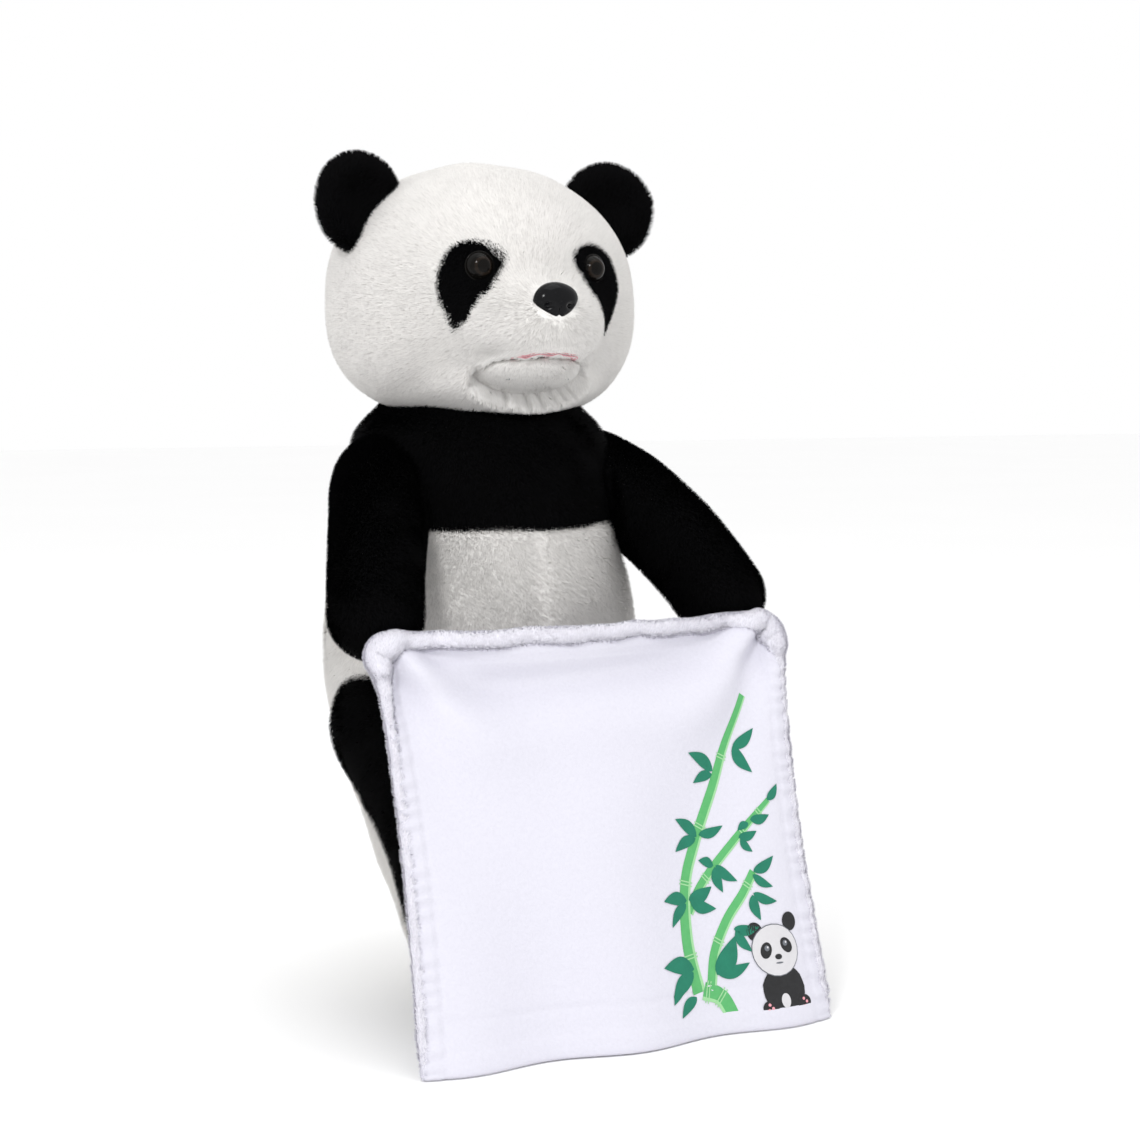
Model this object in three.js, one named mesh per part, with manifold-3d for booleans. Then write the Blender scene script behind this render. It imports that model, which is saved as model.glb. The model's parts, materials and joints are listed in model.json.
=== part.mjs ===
// Seated plush panda that lifts a blanket in front of its face. Millimetres, +Z up, the face looks along -Y.
import * as THREE from 'three';
import { mergeVertices } from 'three/addons/utils/BufferGeometryUtils.js';
import Module from 'manifold-3d';

const wasm = await Module();
wasm.setup();
const { Manifold, Mesh } = wasm;

// ---------------------------------------------------------------- driving dimensions
const GAP = 0.3; // between pieces that are fixed to each other
const RUN = 0.05; // radial running clearance of a shaft in its hole
const PLUSH = 2.6; // cover cloth with its pile
const FLESH = PLUSH + GAP; // depth at which the filling starts

const HEAD = { rx: 58, ryFront: 53, ryBack: 49, rz: 47, z: 253 };
const MUZZLE = { rx: 28, ry: 25, rz: 19, y: -42, z: 239 };
const EAR = { x: 50, y: -9, z: 283, r: 19, thick: 11, lean: 38 };
const EYE = { x: 22.5, z: 259, r: 4.6 };
const NOSE = { z: 248, w: 16, h: 12.5, d: 6.5 };
const PATCH = { w: 21, h: 31, thick: 1.6, tilt: 24 };

const NECK_R = 37;
const NECK_Z = 214;
const SEAM_Z = 168; // black chest above, white belly below
const BASE_R = 28;
const BELLY_R = 59;
const BELLY_Z = 122;

const SHOULDER = { x: 42, y: -10, z: 183, r: 18.5 };
const PAW = { x: 68, y: -60, z: 142, r: 16.8 };
const ARM_MID_R = 18.2;
const ARM_IN_X = 36; // inner side of the arms outside the shoulder ball
const HIP = { x: 38, y: -16, z: 96, r: 28 };
const KNEE = { x: 41, y: -50, z: 62, r: 25 };
const FOOT = { x: 38, y: -79, z: 27.5, r: 27 };

const BLANKET = { w: 154, y: -82, z: 138, drop: 138, lean: 40, bulge: 7, thick: 2.4, wave: 3.2 };
const TRIM = { h: 9, thick: 6.4 };

const SHAFT_R = 2.5;
const SHAFT_HALF = 46;
const GEAR_M = 0.8;
const FAST_M = 0.6;
const ARM_TEETH = 40;
const SMALL_TEETH = 12;
const LARGE_TEETH = 36;
const PINION_TEETH = 12;
const JAW_TEETH = 30;
const JAW_RANGE = 14; // degrees the mouth opens
const WALL = 2;

const CELL_R = 7.2;
const CELL_LEN = 49.5;
const BOX = { y: 16, z: 114, depth: 18.5, half: 29.5 };

// ---------------------------------------------------------------- helpers
const deg = (a) => (a * Math.PI) / 180;

function toSolid(geometry) {
  const g = geometry.clone();
  g.deleteAttribute('normal');
  g.deleteAttribute('uv');
  const m = mergeVertices(g, 1e-4);
  const mesh = new Mesh({
    numProp: 3,
    vertProperties: new Float32Array(m.attributes.position.array),
    triVerts: new Uint32Array(m.index.array),
  });
  mesh.merge();
  return new Manifold(mesh);
}

function toGeometry(solid) {
  const mesh = solid.getMesh();
  const g = new THREE.BufferGeometry();
  g.setAttribute('position', new THREE.BufferAttribute(new Float32Array(mesh.vertProperties), 3));
  g.setIndex(new THREE.BufferAttribute(new Uint32Array(mesh.triVerts), 1));
  return g;
}

const join = (...parts) => parts.reduce((a, b) => a.add(b));
const cut = (base, ...tools) => tools.reduce((a, b) => a.subtract(b), base);

function box(x0, x1, y0, y1, z0, z1) {
  const g = new THREE.BoxGeometry(x1 - x0, y1 - y0, z1 - z0);
  g.translate((x0 + x1) / 2, (y0 + y1) / 2, (z0 + z1) / 2);
  return toSolid(g);
}

// Round bar along one axis: 'x', 'y' or 'z'.
function rod(axis, r, from, to, a, b, seg = 16) {
  const g = new THREE.CylinderGeometry(r, r, to - from, seg);
  const mid = (from + to) / 2;
  if (axis === 'x') g.rotateZ(Math.PI / 2).translate(mid, a, b);
  if (axis === 'y') g.translate(a, mid, b);
  if (axis === 'z') g.rotateX(Math.PI / 2).translate(a, b, mid);
  return toSolid(g);
}

// Round bar between two points.
function strut(p, q, r, seg = 14) {
  const a = new THREE.Vector3(...p);
  const b = new THREE.Vector3(...q);
  const dir = b.clone().sub(a);
  const g = new THREE.CylinderGeometry(r, r, dir.length(), seg);
  const turn = new THREE.Quaternion().setFromUnitVectors(new THREE.Vector3(0, 1, 0), dir.normalize());
  g.applyQuaternion(turn);
  g.translate((a.x + b.x) / 2, (a.y + b.y) / 2, (a.z + b.z) / 2);
  return toSolid(g);
}

function ball(rx, ry, rz, x, y, z, seg = 16, rings = 10) {
  const g = new THREE.SphereGeometry(1, seg, rings);
  g.rotateX(Math.PI / 2).scale(rx, ry, rz).translate(x, y, z);
  return toSolid(g);
}

// Shape drawn in the Y-Z plane and extruded along X.
function extrudeX(shape, x0, x1) {
  const g = new THREE.ExtrudeGeometry(shape, { depth: x1 - x0, bevelEnabled: false, curveSegments: 8 });
  const turn = new THREE.Matrix4().set(0, 0, 1, x0, 1, 0, 0, 0, 0, 1, 0, 0, 0, 0, 0, 1);
  g.applyMatrix4(turn);
  return toSolid(g);
}

// Limb that follows three centres with their radii; inset shrinks it evenly.
function limb(centres, inset, seg = 14) {
  const pts = centres.map((c) => new THREE.Vector3(c.x, c.y, c.z));
  const curve = new THREE.QuadraticBezierCurve3(
    pts[0],
    pts[1].clone().multiplyScalar(2).sub(pts[0].clone().add(pts[2]).multiplyScalar(0.5)),
    pts[2],
  );
  const len = curve.getLength();
  const g = new THREE.CapsuleGeometry(1, len, 4, seg, 3);
  const pos = g.attributes.position;
  const side = new THREE.Vector3(1, 0, 0);
  const p = new THREE.Vector3();
  for (let i = 0; i < pos.count; i += 1) {
    const y = pos.getY(i);
    const along = Math.min(Math.max(y / len + 0.5, 0), 1);
    const over = y - Math.min(Math.max(y, -len / 2), len / 2);
    const t = curve.getTangentAt(along);
    const u = side.clone().addScaledVector(t, -side.dot(t)).normalize();
    const w = new THREE.Vector3().crossVectors(u, t);
    const [r0, r1, r2] = centres.map((c) => c.r - inset);
    const r = along < 0.5 ? r0 + (r1 - r0) * along * 2 : r1 + (r2 - r1) * (along * 2 - 1);
    p.copy(curve.getPointAt(along));
    p.addScaledVector(t, over * r);
    p.addScaledVector(u, pos.getX(i) * r);
    p.addScaledVector(w, pos.getZ(i) * r);
    pos.setXYZ(i, p.x, p.y, p.z);
  }
  return toSolid(g);
}

const mirrorX = (solid) => solid.mirror([1, 0, 0]);

// Involute gear in the Y-Z plane about (cy, cz), one tooth pointing at the angle phase.
function gear(teeth, module, x0, x1, cy, cz, phase) {
  const pressure = deg(25);
  const pitch = (teeth * module) / 2;
  const base = pitch * Math.cos(pressure);
  const tip = pitch + 0.78 * module;
  const root = pitch - 1.05 * module;
  const slack = 0.13 * module;
  const inv = (a) => Math.tan(a) - a;
  const halfAt = (r) => {
    const a = r > base ? Math.acos(base / r) : 0;
    return Math.PI / (2 * teeth) - slack / pitch + inv(pressure) - inv(a);
  };
  const radii = [Math.max(base, root), tip];
  const shape = new THREE.Shape();
  const put = (r, a, first) => {
    const y = cy + r * Math.cos(a);
    const z = cz + r * Math.sin(a);
    if (first) shape.moveTo(y, z);
    else shape.lineTo(y, z);
  };
  for (let i = 0; i < teeth; i += 1) {
    const mid = phase + (i * 2 * Math.PI) / teeth;
    put(root, mid - halfAt(radii[0]), i === 0);
    radii.forEach((r) => put(r, mid - halfAt(r), false));
    radii.slice().reverse().forEach((r) => put(r, mid + halfAt(r), false));
    put(root, mid + halfAt(radii[0]), false);
  }
  return extrudeX(shape, x0, x1);
}

// ---------------------------------------------------------------- soft outlines
const torsoRows = [
  [0, BASE_R, -22],
  [5, BASE_R + 6, -22],
  [16, BASE_R + 12.5, -20],
  [34, BASE_R + 18, -17],
  [54, BELLY_R - 8.5, -12.5],
  [72, BELLY_R - 5, -8.5],
  [88, BELLY_R - 2.5, -5],
  [104, BELLY_R - 0.7, -2],
  [BELLY_Z, BELLY_R, 0],
  [144, BELLY_R - 3, 0],
  [162, BELLY_R - 7.5, 0],
  [178, BELLY_R - 12.5, 0],
  [192, BELLY_R - 17.5, 0],
  [204, NECK_R, 0],
  [NECK_Z, NECK_R - 5.5, 0],
];

// Torso outline pulled in by inset, between two heights.
function torso(inset, z0, z1) {
  const curve = new THREE.CatmullRomCurve3(torsoRows.map(([z, r, s]) => new THREE.Vector3(r, s, z)));
  const rows = curve.getPoints(24);
  const floor = z0 + (z0 === 0 ? inset : 0);
  const at = (z) => {
    const k = Math.max(1, rows.findIndex((row) => row.z >= z));
    const a = rows[k - 1];
    const b = rows[k];
    const t = (z - a.z) / (b.z - a.z || 1);
    return { r: a.x + (b.x - a.x) * t, s: a.y + (b.y - a.y) * t };
  };
  const steps = Math.max(3, Math.round((z1 - floor) / 14));
  const profile = [new THREE.Vector2(0, floor)];
  for (let i = 0; i <= steps; i += 1) {
    const z = floor + ((z1 - floor) * i) / steps;
    profile.push(new THREE.Vector2(at(Math.min(z, NECK_Z - 0.01)).r - inset, z));
  }
  profile.push(new THREE.Vector2(0, z1));
  const g = new THREE.LatheGeometry(profile, 24);
  g.rotateX(Math.PI / 2);
  const pos = g.attributes.position;
  for (let i = 0; i < pos.count; i += 1) {
    pos.setY(i, pos.getY(i) + at(Math.min(Math.max(pos.getZ(i), 0), NECK_Z - 0.01)).s);
  }
  return toSolid(g);
}

// Head with its muzzle, pulled in by inset.
function skull(inset) {
  const g = new THREE.SphereGeometry(1, 22, 14);
  g.rotateX(Math.PI / 2);
  const pos = g.attributes.position;
  for (let i = 0; i < pos.count; i += 1) {
    const y = pos.getY(i);
    pos.setX(i, pos.getX(i) * (HEAD.rx - inset));
    pos.setY(i, y * ((y < 0 ? HEAD.ryFront : HEAD.ryBack) - inset));
    pos.setZ(i, HEAD.z + pos.getZ(i) * (HEAD.rz - inset));
  }
  const snout = ball(MUZZLE.rx - inset, MUZZLE.ry - inset, MUZZLE.rz - inset, 0, MUZZLE.y, MUZZLE.z, 16, 10);
  return toSolid(g).add(snout);
}

// Depth of the head's front at a point of the face.
function faceY(x, z) {
  const a = 1 - (x / HEAD.rx) ** 2 - ((z - HEAD.z) / HEAD.rz) ** 2;
  return -HEAD.ryFront * Math.sqrt(Math.max(a, 0));
}

const armCentres = [
  { ...SHOULDER, r: SHOULDER.r - 1.6 },
  { x: (SHOULDER.x + PAW.x) / 2 + 1, y: (SHOULDER.y + PAW.y) / 2, z: (SHOULDER.z + PAW.z) / 2 + 2, r: ARM_MID_R },
  { ...PAW },
];
const legCentres = [HIP, KNEE, FOOT];

// One arm: a ball about the shoulder axis and a limb kept outside the chest.
function arm(inset) {
  const reach = limb(armCentres, inset);
  const keep = box(ARM_IN_X + inset, 120, -140, 60, 60, 260);
  const r = SHOULDER.r - inset;
  const joint = ball(r, r, r, SHOULDER.x, SHOULDER.y, SHOULDER.z, 16, 10);
  const mouth = box(SHOULDER.x - 12, 130, -140, 60, 60, 260);
  return join(reach.intersect(keep), joint).intersect(mouth);
}

// Space that the arms need in the chest as they turn.
function armRoom(side) {
  const r = SHOULDER.r + 4 * GAP;
  const joint = ball(r, r, r, SHOULDER.x, SHOULDER.y, SHOULDER.z, 16, 10);
  const dy = PAW.y - SHOULDER.y;
  const dz = PAW.z - SHOULDER.z;
  const len = Math.hypot(dy, dz);
  const low = [-dz / len, dy / len].map((v) => v * (r + 0.6));
  const shape = new THREE.Shape();
  shape.moveTo(SHOULDER.y, SHOULDER.z);
  shape.lineTo(SHOULDER.y + low[0], SHOULDER.z + low[1]);
  shape.lineTo(SHOULDER.y + low[0] + (dy / len) * 90, SHOULDER.z + low[1] + (dz / len) * 90);
  shape.lineTo(SHOULDER.y - 120, SHOULDER.z + 60);
  shape.lineTo(SHOULDER.y, SHOULDER.z + 60);
  const turn = extrudeX(shape, ARM_IN_X - 0.4, 90);
  const room = join(joint, turn);
  return side > 0 ? room : mirrorX(room);
}

// ---------------------------------------------------------------- node list
const group = new THREE.Group();
group.name = 'plush_panda';

const looks = {
  white_plush: [0xe9e6e1, 0.95, 0],
  black_plush: [0x141416, 0.95, 0],
  filling: [0xf4f4f2, 1, 0],
  cotton: [0xe7e4f0, 0.9, 0],
  felt_pink: [0xe9939f, 0.95, 0],
  plastic_black: [0x0b0b0c, 0.18, 0],
  plastic_white: [0xdedfdc, 0.5, 0],
  plastic_grey: [0x6c6f73, 0.5, 0],
  steel: [0xb9bcc0, 0.3, 0.9],
  board: [0x1f6b3a, 0.6, 0],
  cell: [0x2d5f8a, 0.45, 0.2],
};

function add(name, solid, look) {
  const [color, roughness, metalness] = looks[look];
  const mesh = new THREE.Mesh(
    toGeometry(solid),
    new THREE.MeshStandardMaterial({ color, roughness, metalness }),
  );
  mesh.name = name;
  group.add(mesh);
}

const both = (name, solid, look) => {
  add(`${name}_left`, solid, look);
  add(`${name}_right`, mirrorX(solid), look);
};

// ---------------------------------------------------------------- mechanism in the chest
const axisY = SHOULDER.y;
const axisZ = SHOULDER.z;
const armPitch = (ARM_TEETH * GEAR_M) / 2;
const smallPitch = (SMALL_TEETH * GEAR_M) / 2;
const largePitch = (LARGE_TEETH * FAST_M) / 2;
const pinionPitch = (PINION_TEETH * FAST_M) / 2;
const midZ = axisZ - armPitch - smallPitch;
const motorZ = midZ - largePitch - pinionPitch;
const DOWN = -Math.PI / 2;
const UP = Math.PI / 2;

const gearRoom = { x0: -8, x1: 10, z0: motorZ - 11, z1: axisZ + 19 };
const motorRoom = { x0: 12, x1: 33, z0: motorZ - 10.3, z1: motorZ + 10.3 };
const houseY0 = axisY - 20;
const houseY1 = axisY + 20;

const shaft = rod('x', SHAFT_R, -SHAFT_HALF, SHAFT_HALF, axisY, axisZ);
add('shoulder_shaft', shaft, 'steel');
const armGear = join(gear(ARM_TEETH, GEAR_M, -6, -1, axisY, axisZ, DOWN), rod('x', 6, -7, 7, axisY, axisZ));
add('arm_gear', cut(armGear, rod('x', SHAFT_R + RUN, -60, 60, axisY, axisZ)), 'plastic_white');
const reduction = join(
  gear(SMALL_TEETH, GEAR_M, -6.5, 1, axisY, midZ, UP + Math.PI / SMALL_TEETH),
  gear(LARGE_TEETH, FAST_M, 0.6, 4, axisY, midZ, DOWN),
);
add('reduction_gear', cut(reduction, rod('x', 1.5 + RUN, -60, 60, axisY, midZ)), 'plastic_white');
add('gear_pin', rod('x', 1.5, gearRoom.x0 - WALL + 0.3, gearRoom.x1 + WALL - 0.3, axisY, midZ, 16), 'steel');
const motorPinion = join(
  gear(PINION_TEETH, FAST_M, -0.4, 5, axisY, motorZ, UP + Math.PI / PINION_TEETH),
  rod('x', 1, 4, 28, axisY, motorZ, 12),
);
add('motor_pinion', motorPinion, 'steel');
const motorBody = join(
  rod('x', 10, motorRoom.x0 + GAP, motorRoom.x1 - GAP, axisY, motorZ, 28),
  rod('x', 3, motorRoom.x0 - 1.5, motorRoom.x0 + 2, axisY, motorZ, 20),
);
add('arm_motor', cut(motorBody, rod('x', 1 + RUN, 0, 29, axisY, motorZ, 12)), 'steel');

const neckHole = box(-9, 9, axisY + 2, houseY1 - 3, gearRoom.z1 - 4, gearRoom.z1 + 9);
const houseOuter = join(
  box(gearRoom.x0 - WALL, gearRoom.x1 + WALL, houseY0, houseY1, gearRoom.z0 - WALL, gearRoom.z1 + WALL),
  box(0, motorRoom.x1 + WALL, axisY - 13, axisY + 13, motorRoom.z0 - WALL, motorRoom.z1 + WALL),
);
const houseInner = join(
  box(gearRoom.x0, gearRoom.x1, houseY0 + WALL, houseY1 - WALL, gearRoom.z0, gearRoom.z1),
  box(motorRoom.x0, motorRoom.x1, axisY - 10.3, axisY + 10.3, motorRoom.z0, motorRoom.z1),
  rod('x', SHAFT_R + RUN, -60, 60, axisY, axisZ),
  rod('x', 1.5 + 0.02, gearRoom.x0 - WALL + 0.2, gearRoom.x1 + WALL - 0.2, axisY, midZ, 16),
  rod('x', 3 + GAP, 9, 13, axisY, motorZ, 20),
);
const house = cut(houseOuter, houseInner);
add('gearbox_front', house.intersect(box(-80, 80, -80, axisY - 0.05, 100, 230)), 'plastic_grey');
add('gearbox_rear', house.intersect(box(-80, 80, axisY + 0.05, 80, 100, 230)), 'plastic_grey');

// ---------------------------------------------------------------- spine, speaker, board
const spineTop = gearRoom.z0 - WALL - GAP;
const spineY = axisY + 4;
const spine = join(
  box(-19, 19, spineY, spineY + 3, 24, spineTop),
  box(-19, 19, axisY - 12, axisY + 14, spineTop - 3, spineTop),
  box(-19, 19, axisY - 16, axisY + 14, 24, 27),
);
add('spine_frame', spine, 'plastic_grey');
const coneRows = [[0, 0], [11, 0], [11, 6], [19.5, 14], [20, 14], [20, 16.5], [18, 16.5], [9, 9], [0, 8]];
const coneGeo = new THREE.LatheGeometry(coneRows.map(([r, h]) => new THREE.Vector2(r, h)), 20);
coneGeo.rotateX(Math.PI);
coneGeo.translate(0, spineY - GAP, 84);
add('speaker', toSolid(coneGeo), 'plastic_black');
const board = join(
  box(-17, 17, spineY + 3 + GAP, spineY + 5, 42, 88),
  box(-6, 6, spineY + 4.5, spineY + 7, 60, 72),
  rod('y', 3.2, spineY + 4.5, spineY + 12, 10, 52, 16),
);
add('circuit_board', board, 'board');

// ---------------------------------------------------------------- battery box in the back
const bz0 = BOX.z - 3 * CELL_R - 1.6;
const bz1 = BOX.z + 3 * CELL_R + 1.6;
const boxY1 = BOX.y + BOX.depth;
const tray = cut(
  join(
    box(-BOX.half, BOX.half, BOX.y, boxY1, bz0 - WALL, bz1 + WALL),
    box(-13, 13, BOX.y, boxY1, bz0 - 9, bz1),
  ),
  box(-BOX.half + WALL, BOX.half - WALL, BOX.y + WALL, boxY1 + 5, bz0, bz1),
  box(-11, 11, BOX.y + WALL + 6, boxY1 - WALL, bz0 - 7, bz0 - WALL + 5),
  box(-6.5, 6.5, boxY1 - 6, boxY1 + 5, bz0 - 6.6, bz0 - 2.9),
);
const doorZ0 = bz0 - 0.4;
const doorHoleZ = bz1 - 1.4;
const screwBoss = rod('y', 3.4, BOX.y + 0.5, boxY1 - 0.4, 0, bz1 + 2.6, 16);
const screwHole = rod('y', 1.6, BOX.y + 4, boxY1 + 9, 0, bz1 + 2.6, 16);
add('battery_box', cut(join(tray, screwBoss), screwHole), 'plastic_grey');
const door = join(
  box(-BOX.half + 0.2, BOX.half - 0.2, boxY1 + GAP, boxY1 + 2.3, doorZ0, bz1 + 6),
  box(-BOX.half + WALL + 0.5, BOX.half - WALL - 0.5, boxY1 - 0.9, boxY1 + 0.6, doorHoleZ - 6, doorHoleZ),
);
add('battery_door', cut(door, rod('y', 1.6, boxY1 - 3, boxY1 + 9, 0, bz1 + 2.6, 16)), 'plastic_grey');
const screw = join(
  rod('y', 1.35, BOX.y + 5, boxY1 + 2.8, 0, bz1 + 2.6, 16),
  rod('y', 2.7, boxY1 + 2.3 + 0.1, boxY1 + 3.8, 0, bz1 + 2.6, 20),
);
add('door_screw', screw, 'steel');
for (let i = 0; i < 3; i += 1) {
  const z = BOX.z + (i - 1) * (2 * CELL_R + 0.4);
  const flip = i % 2 === 0 ? 1 : -1;
  const body = join(
    rod('x', CELL_R, -CELL_LEN / 2, CELL_LEN / 2 - 1.4, BOX.y + WALL + 0.3 + CELL_R, z, 24),
    rod('x', 2.7, 0, CELL_LEN / 2, BOX.y + WALL + 0.3 + CELL_R, z, 16),
  );
  add(`cell_${i + 1}`, flip > 0 ? body : mirrorX(body), 'cell');
}
const contactX = CELL_LEN / 2 + 0.3;
both('battery_contact', box(contactX, contactX + 1.6, BOX.y + 4, BOX.y + 15, bz0 + 2, bz1 - 2), 'steel');
const knob = join(
  box(-6, 6, boxY1 - 7.6, boxY1 - 6.3, bz0 - 6.4, bz0 - 3.1),
  box(-4.2, -0.2, boxY1 - 7, boxY1 + 0.9, bz0 - 6.2, bz0 - 3.3),
);
add('power_switch', knob, 'plastic_black');

// ---------------------------------------------------------------- head mechanism
const JAW = { y: -8, z: 228 };
const jawPitch = (JAW_TEETH * GEAR_M) / 2;
const jawSmall = (SMALL_TEETH * GEAR_M) / 2;
const jawMotorZ = JAW.z + jawPitch + jawSmall;
const sector = gear(JAW_TEETH, GEAR_M, -2, 2, JAW.y, JAW.z, UP).intersect(box(-9, 9, -14, 2, JAW.z - 1, 260));
const jawArm = box(5.5, 8.5, -50, JAW.y, JAW.z - 7.5, JAW.z - 4);
const jawDrop = box(5.5, 8.5, JAW.y - 3.4, JAW.y + 3.4, JAW.z - 7.5, JAW.z);
const jawSolid = join(
  sector,
  rod('x', 4, -8.5, 8.5, JAW.y, JAW.z, 24),
  jawArm,
  mirrorX(jawArm),
  jawDrop,
  mirrorX(jawDrop),
  box(-12, 12, -50, -34, JAW.z - 7.5, JAW.z - 5),
);
add('jaw_frame', cut(jawSolid, rod('x', 1.5 + RUN, -20, 20, JAW.y, JAW.z, 16)), 'plastic_grey');
add('jaw_pin', rod('x', 1.5, -12.8, 12.8, JAW.y, JAW.z, 16), 'steel');
const frameSolid = join(
  box(-16, 16, JAW.y - 5, 20, 209.5, 213),
  box(-16, 16, 14, 18, 212, 262),
  box(-12.6, -9.2, JAW.y - 8, 16, 212, jawMotorZ + 9),
  box(9.2, 12.6, JAW.y - 8, 16, 212, jawMotorZ + 9),
);
const frameHoles = [
  rod('x', 1.52, -14, 14, JAW.y, JAW.z, 16),
  rod('x', 2.2, 5, 14, JAW.y, jawMotorZ, 16),
];
add('head_frame', cut(frameSolid, ...frameHoles), 'plastic_grey');
const jawPinion = join(
  gear(SMALL_TEETH, GEAR_M, -3, 3, JAW.y, jawMotorZ, -UP + Math.PI / SMALL_TEETH),
  rod('x', 1, 2, 26, JAW.y, jawMotorZ, 16),
);
add('jaw_pinion', jawPinion, 'steel');
const jawMotor = rod('x', 7.5, 12.6 + GAP, 31, JAW.y, jawMotorZ, 24);
add('jaw_motor', cut(jawMotor, rod('x', 1 + RUN, 0, 27, JAW.y, jawMotorZ, 16)), 'steel');
const postY = axisY + 12;
add('neck_post', box(-8, 8, postY, postY + 12, gearRoom.z1 + WALL + GAP, 209.2), 'plastic_grey');

// ---------------------------------------------------------------- legs
const torsoTool = torso(-GAP, 0, NECK_Z - 0.5);
const legOuter = limb(legCentres, 0);
const legInner = limb(legCentres, PLUSH);
const legFill = limb(legCentres, FLESH);
const overFloor = box(-200, 200, -200, 200, 0, 400);
const midLine = box(0.4, 200, -200, 200, 0, 400);
const legShell = cut(legOuter, legInner, torsoTool).intersect(overFloor).intersect(midLine);
const button = { x: FOOT.x, z: FOOT.z + 2, y: FOOT.y - FOOT.r + FLESH + 5.5 };
const buttonRoom = rod('y', 13.6, button.y - 6, button.y + 13, button.x, button.z, 24);
const legCore = cut(legFill, torsoTool).intersect(box(0.4 + FLESH, 200, -200, 200, FLESH, 400));
both('leg_cover', legShell, 'black_plush');
add('leg_stuffing_left', cut(legCore, buttonRoom), 'filling');
add('leg_stuffing_right', mirrorX(legCore), 'filling');
const caseSolid = cut(
  rod('y', 13.2, button.y + 1.5, button.y + 12.5, button.x, button.z, 24),
  rod('y', 11.2, button.y - 5, button.y + 10.5, button.x, button.z, 24),
);
add('button_case', caseSolid, 'plastic_white');
add('play_button', join(
  rod('y', 10.8, button.y - 0.6, button.y + 1.4, button.x, button.z, 24),
  rod('y', 2, button.y + 1, button.y + 6.6, button.x, button.z, 16),
), 'plastic_white');
class Coil extends THREE.Curve {
  getPoint(t) {
    const a = t * 2 * Math.PI * 3;
    return new THREE.Vector3(
      button.x + 4.6 * Math.cos(a),
      button.y + 1.4 + 0.5 + 0.15 + t * 7.8,
      button.z + 4.6 * Math.sin(a),
    );
  }
}
const wire = new THREE.Shape();
wire.absarc(0, 0, 0.5, 0, 2 * Math.PI, false);
const springGeo = new THREE.ExtrudeGeometry(wire, { extrudePath: new Coil(), steps: 36, curveSegments: 2 });
add('button_spring', toSolid(springGeo), 'steel');

// ---------------------------------------------------------------- torso covers and filling
const chin = (grow) => ball(19 + grow, 21 + grow, 7.4 + grow, 0, -38.5, JAW.z - 6.4, 18, 8);
const turnAboutJaw = (solid, angle) => solid
  .translate([0, -JAW.y, -JAW.z])
  .rotate([angle, 0, 0])
  .translate([0, JAW.y, JAW.z]);
const chinLow = box(-40, 40, -90, -26, 200, JAW.z - 0.2);
const chinRoom = Manifold.hull([
  chin(2 * GAP).intersect(chinLow),
  turnAboutJaw(chin(2 * GAP).intersect(chinLow), JAW_RANGE),
]);
const rooms = [armRoom(1), armRoom(-1)];
const flapCut = box(-31.5, 31.5, 12, 90, bz0 - 12, bz1 + 9);
const flapPanel = box(-31.2, 31.2, 12, 90, bz0 - 11.7, bz1 + 8.7);
const bodyShell = cut(torso(0, 0, SEAM_Z - GAP / 2), torso(PLUSH, 0, SEAM_Z + 4));
add('body_cover', cut(bodyShell, flapCut, ...rooms), 'white_plush');
add('back_flap', bodyShell.intersect(flapPanel), 'white_plush');
const chestShell = cut(torso(0, SEAM_Z + GAP / 2, NECK_Z), torso(PLUSH, SEAM_Z - 4, NECK_Z + 4));
const headTool = skull(-GAP - 0.2);
add('chest_cover', cut(chestShell, headTool, chinRoom, ...rooms), 'black_plush');

const g2 = GAP;
const hollows = [
  box(gearRoom.x0 - WALL - g2, gearRoom.x1 + WALL + g2, houseY0 - g2, houseY1 + g2, spineTop - 4, 230),
  box(-1, motorRoom.x1 + WALL + g2, axisY - 13 - g2, axisY + 13 + g2, spineTop - 4, motorRoom.z1 + WALL + g2),
  box(-19 - g2, 19 + g2, axisY - 16 - g2, BOX.y + 1, 23.6, spineTop + 1),
  rod('y', 20 + g2, spineY - 18, spineY + 1, 0, 84, 28),
  box(-BOX.half - g2, BOX.half + g2, BOX.y - g2, 90, bz0 - 9.4, bz1 + 7),
  rod('x', SHAFT_R + g2, -60, 60, axisY, axisZ, 20),
  box(-12, 12, axisY + 1, postY + 14, 195, 230),
];
const bodyFill = cut(torso(FLESH, 0, NECK_Z - 10), ...hollows, ...rooms, headTool);
const pieces = bodyFill.decompose().sort((a, b) => b.volume() - a.volume());
add('body_stuffing', pieces[0], 'filling');

// ---------------------------------------------------------------- arms
const armShell = cut(arm(0), arm(PLUSH), box(0, SHOULDER.x - 11.7, -60, 40, 150, 220));
both('arm_cover', armShell, 'black_plush');
const leverFrom = [SHOULDER.x - 2, axisY, axisZ];
const leverTo = [PAW.x - 3, PAW.y + 5, PAW.z + 4];
const lever = (grow) => join(
  strut(leverFrom, leverTo, 2.6 + grow),
  rod('x', 6.5 + grow, SHOULDER.x - 7 - grow, SHOULDER.x + 2 + grow, axisY, axisZ, 20),
);
const shaftHole = rod('x', SHAFT_R + RUN, 0, 60, axisY, axisZ, 24);
both('arm_lever', cut(lever(0), shaftHole), 'plastic_grey');
const armBits = cut(
  arm(FLESH),
  lever(GAP),
  rod('x', 6.5 + GAP, 0, SHOULDER.x, axisY, axisZ, 20),
  rod('x', SHAFT_R + GAP, 0, SHAFT_HALF + GAP, axisY, axisZ, 20),
);
both('arm_stuffing', armBits.intersect(box(SHOULDER.x - 11.4, 140, -140, 60, 60, 260)), 'filling');

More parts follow.
